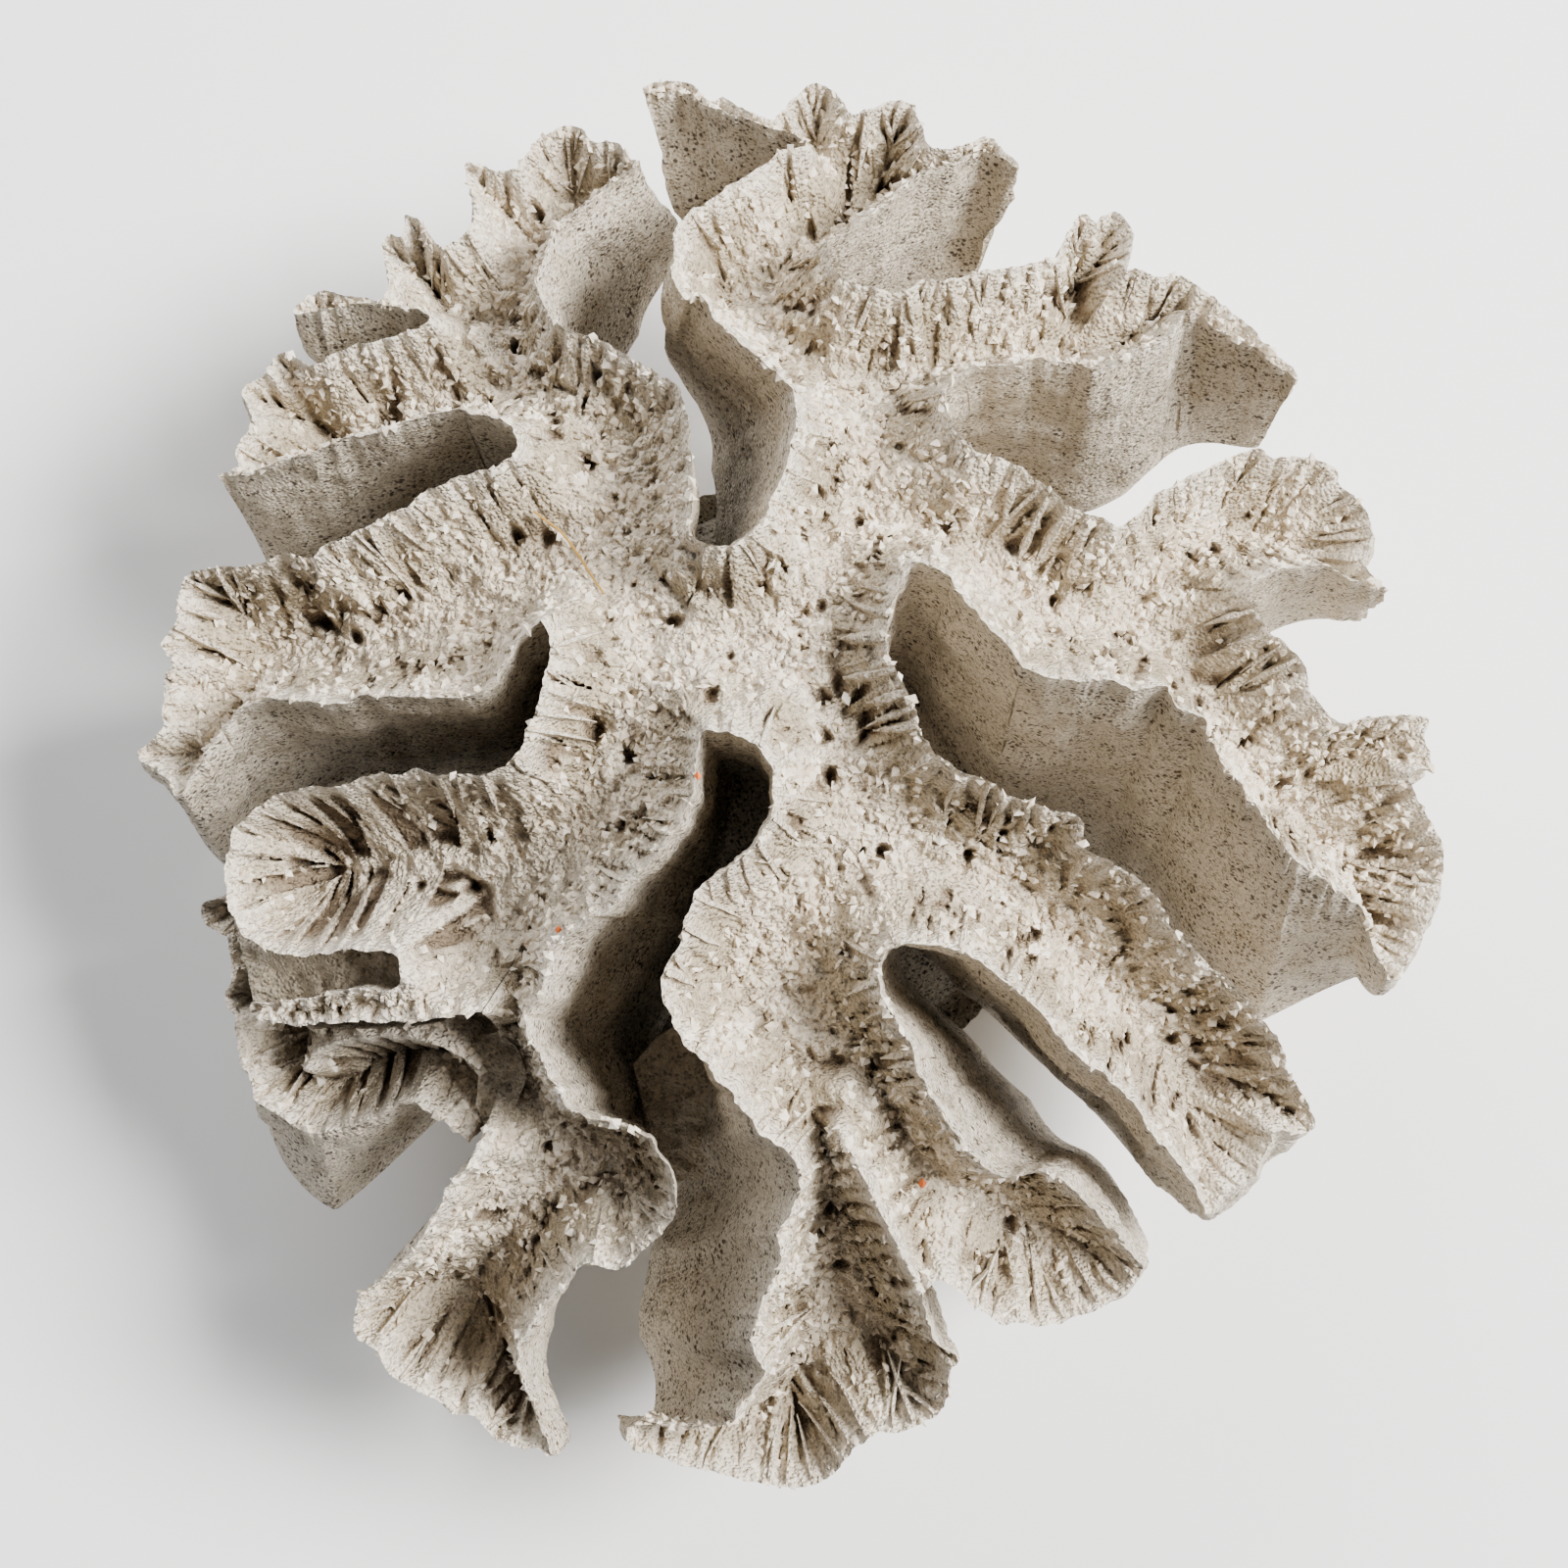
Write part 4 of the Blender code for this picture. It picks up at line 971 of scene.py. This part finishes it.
def make_fibre(crests, surface):
    """A thread lying over the valley, a closed tube."""
    line = spline(np.array([crests.under(p) for p in FIBRE]), 0.0005)
    height, depth, _, _ = crests.profile(line)
    path = np.column_stack([crests.leaned(line, depth), height])
    stations = np.linspace(0, len(FIBRE_LIFTS) - 1, len(line))
    path[:, 2] += np.interp(stations, range(len(FIBRE_LIFTS)), FIBRE_LIFTS)
    side = np.gradient(path[:, :2], axis=0)
    side = np.column_stack([-side[:, 1], side[:, 0]]) / np.hypot(*side.T)[:, None]
    points = []
    for spot, across in zip(path, side):
        for angle in np.arange(FIBRE_SIDES) / FIBRE_SIDES * 2 * math.pi:
            flat = spot[:2] + across * math.cos(angle) * FIBRE_RADIUS
            points.append((*flat, spot[2] + math.sin(angle) * FIBRE_RADIUS))
    faces = np.array(tube_faces(0, len(path), FIBRE_SIDES), np.int32)[:, ::-1]
    return mesh_object("fibre", np.array(points), faces, {}, surface)


def make_fleck(name, crests, picture_place, lift, size, surface):
    """A small crumb of foreign matter on the stone."""
    place = crests.under(picture_place)[None]
    height, depth, _, _ = crests.profile(place)
    middle = np.array([*crests.leaned(place, depth)[0], height[0] + lift])
    corners = np.array([(1, 0, 0), (0, 1.3, 0.2), (-0.9, 0.1, 0), (0, -1.1, 0),
                        (0.1, 0.1, 0.7), (0, 0, -0.7)])
    faces = [(0, 1, 4), (1, 2, 4), (2, 3, 4), (3, 0, 4), (1, 0, 5), (2, 1, 5), (3, 2, 5), (0, 3, 5)]
    return mesh_object(name, middle + corners * size, np.array(faces, np.int32), {}, surface)


def make_stalk(surface):
    """The stalk as rings from the middle of its cut, up its side and over its domed top."""
    turn = np.linspace(0, 2 * math.pi, STALK_POINTS, endpoint=False)
    circle = np.column_stack([np.cos(turn), np.sin(turn)])
    profile = [(STALK_BASE_RADIUS * share, 0.0) for share in (0.25, 0.5, 0.75, 0.93, 1.0)]
    profile += [(STALK_BASE_RADIUS + STALK_FLARE * t ** 0.9, STALK_FLARE_HEIGHT * t)
                for t in np.linspace(0.05, 1.0, 12)]
    profile += [(r, STALK_SIDE_HEIGHT + STALK_DOME_RISE * (1 - (r / STALK_RADIUS) ** STALK_DOME_POWER))
                for r in np.linspace(STALK_DOME_RADIUS, 0.002, 22)]
    rings = []
    for radius, height in profile:
        on_side = min(1.0, height / 0.003) if height < STALK_EDGE_HEIGHT and radius > 0.034 else 0.0
        spots = np.column_stack([circle * radius, np.full(len(turn), height)])
        swell = STALK_SWELL * noise("stalk_swell", spots) + STALK_RIB_HEIGHT * np.cos(turn * STALK_RIBS)
        rough = DOME_GRIT * noise("dome_grit", spots) * (height > STALK_EDGE_HEIGHT)
        rings.append(np.column_stack([circle * (radius + swell * on_side)[:, None], height + rough]))
    points = np.vstack(rings + [[[0, 0, 0]], [[0, 0, STALK_SIDE_HEIGHT + STALK_DOME_RISE]]])
    here, after = np.arange(len(turn)), np.roll(np.arange(len(turn)), -1)
    faces = []
    for low in range(0, (len(rings) - 1) * len(turn), len(turn)):
        high = low + len(turn)
        faces += ring_faces(low + here, low + after, high + after, high + here)
    last = (len(rings) - 1) * len(turn)
    below, above = np.full(len(turn), len(points) - 2), np.full(len(turn), len(points) - 1)
    faces += [np.column_stack([below, after, here]), np.column_stack([above, last + here, last + after])]
    return mesh_object("stalk_surface", points, np.vstack(faces).astype(np.int32), {}, surface)


def area_sign(ring):
    """Positive when the ring runs anticlockwise."""
    after = np.roll(ring, -1, axis=0)
    return (ring[:, 0] * after[:, 1] - ring[:, 1] * after[:, 0]).sum()


class Socket:
    """A node's socket that adds Math nodes when used in an expression."""

    def __init__(self, owner, socket):
        self.owner, self.socket = owner, socket

    def maths(self, operation, *values):
        return self.owner.node("ShaderNodeMath", {"operation": operation}, dict(enumerate(values)))

    def __add__(self, other):
        return self.maths("ADD", self, other)

    def __sub__(self, other):
        return self.maths("SUBTRACT", self, other)

    def __rsub__(self, other):
        return self.maths("SUBTRACT", other, self)

    def __mul__(self, other):
        return self.maths("MULTIPLY", self, other)

    def clamp(self):
        return self.owner.node("ShaderNodeMath", {"operation": "ADD", "use_clamp": True}, {0: self, 1: 0.0})

    def between(self, low, high):
        """0 below low, 1 above high, smooth between."""
        values = {"Value": self, "From Min": low, "From Max": high}
        return self.owner.node("ShaderNodeMapRange", {"interpolation_type": "SMOOTHSTEP"}, values)


class Nodes:
    """A node tree, with one method for every node."""

    def __init__(self, tree):
        self.tree = tree

    def node(self, kind, settings=None, values=None, output=0):
        """Adds a node and returns the socket of one output."""
        made = self.tree.nodes.new(kind)
        for name, value in (settings or {}).items():
            setattr(made, name, value)
        for key, value in (values or {}).items():
            if isinstance(value, Socket):
                self.tree.links.new(value.socket, made.inputs[key])
            else:
                made.inputs[key].default_value = value
        return Socket(self, made.outputs[output]) if made.outputs else None


class Grown(Nodes):
    """A Geometry Nodes tree with named inputs."""

    def __init__(self, name):
        super().__init__(bpy.data.node_groups.new(name, "GeometryNodeTree"))
        self.tree.is_modifier = True

    def input(self, name, kind, default=None):
        socket = self.tree.interface.new_socket(name, in_out="INPUT", socket_type=kind)
        if default is not None:
            socket.default_value = default
        return socket.identifier

    def given(self, name):
        return self.node("NodeGroupInput", output=name)

    def grow(self, bed, values, name):
        """Runs the tree on the bed and returns the finished object."""
        modifier = bed.modifiers.new(name, "NODES")
        modifier.node_group = self.tree
        for identifier, value in values.items():
            modifier[identifier] = value
        graph = bpy.context.evaluated_depsgraph_get()
        mesh = bpy.data.meshes.new_from_object(bed.evaluated_get(graph), depsgraph=graph)
        bed.modifiers.remove(modifier)
        mesh.name = name
        made = bpy.data.objects.new(name, mesh)
        bpy.context.scene.collection.objects.link(made)
        return made


def crystal_tree(surface):
    """Crystals scattered over a bed by its weight, turned and sized at random."""
    grown = Grown("crystal_scatter")
    grown.input("Geometry", "NodeSocketGeometry")
    keys = {"density": grown.input("Density", "NodeSocketFloat", 1000.0),
            "size": grown.input("Size", "NodeSocketFloat", 0.0005),
            "seed": grown.input("Seed", "NodeSocketInt", 0)}
    grown.tree.interface.new_socket("Geometry", in_out="OUTPUT", socket_type="NodeSocketGeometry")
    weight = grown.node("GeometryNodeInputNamedAttribute", {"data_type": "FLOAT"}, {"Name": "weight"},
                        "Attribute")
    spread = grown.node("GeometryNodeDistributePointsOnFaces", {},
                        {"Mesh": grown.given("Geometry"), "Density": weight * grown.given("Density"),
                         "Seed": grown.given("Seed")}, "Points")
    crystal = grown.node("GeometryNodeMeshUVSphere", {},
                         {"Segments": 4, "Rings": 2, "Radius": grown.given("Size")}, "Mesh")
    turn, scale = (
        grown.node("FunctionNodeRandomValue", {"data_type": "FLOAT_VECTOR"},
                   {"Min": low, "Max": high, "Seed": seed}, "Value")
        for low, high, seed in (CRYSTAL_TURNS, CRYSTAL_SCALES))
    placed = grown.node("GeometryNodeInstanceOnPoints", {},
                        {"Points": spread, "Instance": crystal, "Rotation": turn, "Scale": scale},
                        "Instances")
    real = grown.node("GeometryNodeRealizeInstances", {}, {"Geometry": placed})
    shown = grown.node("GeometryNodeSetMaterial", {}, {"Geometry": real, "Material": surface})
    grown.node("NodeGroupOutput", {}, {0: shown})
    return grown, keys


def crystal_bed():
    """The valleys' faces of every lobe as one mesh, weighted by how sandy they are."""
    all_points, all_faces, all_weights, base = [], [], [], 0
    for lobe in LOBES:
        mesh = bpy.data.objects[lobe + "_surface"].data
        points = np.empty(len(mesh.vertices) * 3, np.float32)
        mesh.vertices.foreach_get("co", points)
        points = points.reshape(-1, 3)
        faces = np.empty(len(mesh.polygons) * 3, np.int32)
        mesh.polygons.foreach_get("vertices", faces)
        faces = faces.reshape(-1, 3)
        layer = {}
        for name in ("inner", "stain", "gap", "edge", "bare"):
            layer[name] = np.empty(len(mesh.vertices), np.float32)
            mesh.attributes[name].data.foreach_get("value", layer[name])
        weight = np.clip(1 - layer["bare"], 0.0, 1.0) * (1 - 0.75 * layer["stain"])
        weight = weight * (1 - 0.7 * layer["edge"]) * (1 - 0.5 * layer["gap"])
        clumps = np.clip(0.65 + 0.7 * noise("clumps", points[:, :2]), 0.05, 1.2)
        all_points.append(points)
        all_weights.append(weight * clumps)
        all_faces.append(faces[(layer["inner"][faces] > 0.5).all(axis=1)] + base)
        base += len(points)
    layers = {"weight": np.concatenate(all_weights)}
    return mesh_object("crystal_bed", np.vstack(all_points), np.vstack(all_faces), layers, None)


class Finish(Nodes):
    """A material's node tree and its shader."""

    def __init__(self, name):
        self.material = bpy.data.materials.new(name)
        self.material.use_nodes = True
        super().__init__(self.material.node_tree)
        self.shader = self.tree.nodes["Principled BSDF"]

    def mix(self, share, first, second):
        """A colour between two colours."""
        values = {0: share}
        for key, value in ((6, first), (7, second)):
            values[key] = value if isinstance(value, Socket) else (*value, 1.0)
        return self.node("ShaderNodeMix", {"data_type": "RGBA"}, values, output=2)

    def attribute(self, name):
        return self.node("ShaderNodeAttribute", {"attribute_name": name}, output=2)

    def place(self):
        return self.node("ShaderNodeTexCoord", output=3)

    def noise(self, scale, detail=3.0, roughness=0.55):
        values = {"Vector": self.place(), "Scale": scale, "Detail": detail, "Roughness": roughness}
        return self.node("ShaderNodeTexNoise", {}, values)

    def cells(self, scale):
        return self.node("ShaderNodeTexVoronoi", {}, {"Vector": self.place(), "Scale": scale})

    def feed(self, name, value):
        if isinstance(value, Socket):
            self.tree.links.new(value.socket, self.shader.inputs[name])
        else:
            self.shader.inputs[name].default_value = value


def specks(finish, scale, size, keep):
    """Small dark dots scattered at random: some cells of a cell pattern, near their middles."""
    dots = 1 - finish.cells(scale).between(size * 0.6, size)
    return dots * finish.noise(scale * 0.35, 1.0).between(keep, keep + 0.04)


def coral_finish(name, wall_only=False):
    """Chalky stone: cream valleys, white crests, brown painted shade in gaps, pits and shaded valleys,
    specked grey walls.
    """
    props = sizes()
    finish = Finish(name)
    broad, medium, fine, patchy, sandy, crumbs = (finish.noise(*grain) for grain in GRAINS.values())
    colour = finish.mix((broad - 0.5) * 1.4 + 0.5, props.wall_grey, tuple(1.12 * c for c in props.wall_grey))
    for share, tint in ((medium.between(0.45, 0.7) * 0.4, props.olive_stain_and_shade),
                        (sandy.between(0.5, 0.72) * 0.45, props.brown_grain_and_gap_shade),
                        (patchy.between(0.53, 0.66) * 0.5, props.brown_grain_and_gap_shade),
                        (sandy.between(0.5, 0.3) * 0.35, props.crest_white)):
        colour = finish.mix(share, colour, tint)
    if not wall_only:
        inner = finish.attribute("inner")
        valley = finish.mix(broad.between(0.3, 0.7) * 0.6, props.cream, props.crest_white)
        # The olive tint share: tint on the valley walls, and painted shade in the shaded valleys and on slot
        # floors
        stain = (finish.attribute("stain") * (medium * 1.1 + 0.35)).clamp()
        colour = finish.mix(inner, colour, finish.mix(stain * 0.75, valley, props.olive_stain_and_shade))
        # The gap share: painted shade in pits, cups and between septa, in brown
        gap = finish.attribute("gap").between(0.25, 1.0)
        colour = finish.mix((gap * 0.85).clamp(), colour, props.brown_grain_and_gap_shade)
        colour = finish.mix(finish.attribute("edge") * 0.7, colour, props.crest_white)
    colour = finish.mix(fine.between(0.35, 0.75) * 0.18, colour, props.brown_grain_and_gap_shade)
    dots = [specks(finish, *dot) * strength for *dot, strength in SPECKS]
    dots = (dots[0] + dots[1] + dots[2]).clamp()
    relief = WALL_BUMP_SHARE
    if not wall_only:
        dots = dots * (1 - inner * 0.55)
        relief = inner * 0.55 + 0.45
    finish.feed("Base Color", finish.mix(dots * 0.9, colour, props.speck_dark))
    finish.feed("Roughness", fine * 0.2 + 0.78)
    finish.feed("Specular IOR Level", 0.25)
    crystals = (1 - finish.cells(CRYSTAL_CELLS).between(0.0, 0.75)) * CRYSTAL_BUMP
    height = (crystals + crumbs * CRUMB_BUMP) * relief
    bump = {"Strength": 1.0, "Distance": 1.0, "Height": height}
    finish.feed("Normal", finish.node("ShaderNodeBump", {}, bump))
    return finish.material


def crystal_finish(name):
    """Pale crystals, a little darker here and there."""
    props = sizes()
    finish = Finish(name)
    colour = finish.mix(finish.noise(320.0, 2.0).between(0.35, 0.65), props.cream, props.crest_white)
    colour = finish.mix(finish.noise(1500.0, 1.0).between(0.62, 0.8) * 0.7, colour, props.olive_stain_and_shade)
    finish.feed("Base Color", colour)
    finish.feed("Roughness", 0.6)
    return finish.material


def plain_finish(name, colour, roughness):
    """One colour, very slightly uneven."""
    finish = Finish(name)
    shade = finish.noise(3.0, 2.0)
    finish.feed("Base Color", finish.mix(shade * 0.1, colour, tuple(0.96 * c for c in colour)))
    finish.feed("Roughness", roughness)
    return finish.material


def tier(lower):
    """The stretches of the upper or the lower tier, and their crests."""
    names = [name for name in STRETCHES if (name in LOWER_TIER) == lower]
    return names, Crests(names, LOWER_TIER_DROP if lower else 0.0)


class CORAL_OT_lobes(bpy.types.Operator):
    """Make the crown's pieces with their septa, walls and undersides"""

    bl_idname = "coral.lobes"
    bl_label = "Crown Lobes"

    def execute(self, context):
        surface = coral_finish("crown_stone_finish")
        crests = {lower: tier(lower)[1] for lower in (False, True)}
        for lobe, items in LOBES.items():
            made = make_lobe(lobe, crests[items[0] in LOWER_TIER], surface)
            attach(made, "root")
            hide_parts(lobe)
        return {"FINISHED"}


class CORAL_OT_septa(bpy.types.Operator):
    """Make the thin septa down the valley walls, and the webs in slots"""

    bl_idname = "coral.septa"
    bl_label = "Septa"

    def execute(self, context):
        surface = bpy.data.materials["crown_stone_finish"]
        made = []
        for label, lower in (("septa_blades", False), ("lower_septa_blades", True)):
            names, crests = tier(lower)
            made.append(make_septa(label, crests, names, surface))
        made += [make_web(name, *shape, surface) for name, shape in WEBS.items()]
        for piece in made:
            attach(piece, "root")
        return {"FINISHED"}


class CORAL_OT_dirt(bpy.types.Operator):
    """Make the golden fibre and the small orange flecks"""

    bl_idname = "coral.dirt"
    bl_label = "Fibre and Flecks"

    def execute(self, context):
        crests = tier(False)[1]
        made = [make_fibre(crests, plain_finish("fibre_finish", (0.42, 0.24, 0.05), 0.5))]
        orange = plain_finish("fleck_finish", (0.62, 0.13, 0.02), 0.6)
        for number, fleck in enumerate(FLECKS):
            made.append(make_fleck(f"fleck_{number + 1}", crests, *fleck, orange))
        for piece in made:
            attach(piece, "root")
        return {"FINISHED"}


class CORAL_OT_crystals(bpy.types.Operator):
    """Scatter sugary crystals over the valley floors"""

    bl_idname = "coral.crystals"
    bl_label = "Crystals"

    def execute(self, context):
        props = sizes()
        bed = crystal_bed()
        grown, keys = crystal_tree(crystal_finish("crystal_finish"))
        values = {keys["density"]: props.grain_density, keys["size"]: props.grain_size,
                  keys["seed"]: props.seed}
        made = grown.grow(bed, values, "crystal_grains")
        bpy.data.objects.remove(bed)
        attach(made, "root")
        return {"FINISHED"}


class CORAL_OT_stalk(bpy.types.Operator):
    """Make the ribbed stalk with its flat cut"""

    bl_idname = "coral.stalk"
    bl_label = "Stalk"

    def execute(self, context):
        made = make_stalk(coral_finish("stalk_stone_finish", True))
        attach(made, "root")
        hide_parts("stalk")
        return {"FINISHED"}


class CORAL_OT_stage(bpy.types.Operator):
    """Make the pale floor, the soft lights and the camera above the crown"""

    bl_idname = "coral.stage"
    bl_label = "Stage"

    def execute(self, context):
        bpy.ops.mesh.primitive_plane_add(size=FLOOR_SIDE)
        floor = context.active_object
        floor.name = "pale_floor"
        floor.data.materials.append(plain_finish("pale_floor_finish", (0.97, 0.97, 0.97), 0.9))
        for name, place, side, power, tint in LIGHTS:
            data = bpy.data.lights.new(name, "AREA")
            data.size, data.energy, data.color = side, power, tint
            lamp = bpy.data.objects.new(name, data)
            lamp.location = place
            lamp.rotation_euler = (Vector((0, 0, 0.05)) - Vector(place)).to_track_quat("-Z", "Y").to_euler()
            context.scene.collection.objects.link(lamp)
        world = bpy.data.worlds.new("soft_room")
        world.use_nodes = True
        background = world.node_tree.nodes["Background"].inputs
        background["Color"].default_value = (1.0, 1.0, 1.0, 1.0)
        background["Strength"].default_value = ROOM_STRENGTH
        context.scene.world = world
        data = bpy.data.cameras.new("camera")
        seen_side = PICTURE_SIDE * CROWN_LENGTH / PICTURE_LENGTH
        data.lens = data.sensor_width * (EYE_HEIGHT - RIM_HEIGHT) / seen_side
        data.clip_start = 0.01
        camera = bpy.data.objects.new("camera", data)
        camera.location = (*EYE_PLACE, EYE_HEIGHT)
        context.scene.collection.objects.link(camera)
        context.scene.camera = camera
        return {"FINISHED"}


class CORAL_PT_panel(bpy.types.Panel):
    """Lists the coral's pieces and sizes"""

    bl_idname = "CORAL_PT_panel"
    bl_label = "Brain Coral Skeleton"
    bl_space_type = "VIEW_3D"
    bl_region_type = "UI"
    bl_category = "Coral"

    def draw(self, context):
        for name in CoralSizes.__annotations__:
            self.layout.prop(context.scene.coral_sizes, name)
        for operator in STEPS:
            self.layout.operator(operator.bl_idname)


STEPS = (CORAL_OT_lobes, CORAL_OT_septa, CORAL_OT_crystals, CORAL_OT_dirt, CORAL_OT_stalk, CORAL_OT_stage)
CLASSES = (CoralSizes, *STEPS, CORAL_PT_panel)


def register():
    for item in CLASSES:
        bpy.utils.register_class(item)
    bpy.types.Scene.coral_sizes = PointerProperty(type=CoralSizes)


def unregister():
    del bpy.types.Scene.coral_sizes
    for item in reversed(CLASSES):
        bpy.utils.unregister_class(item)


def main():
    register()
    bpy.ops.coral.lobes()
    bpy.ops.coral.septa()
    bpy.ops.coral.crystals()
    bpy.ops.coral.dirt()
    bpy.ops.coral.stalk()
    bpy.ops.coral.stage()


if __name__ == "__main__":
    main()
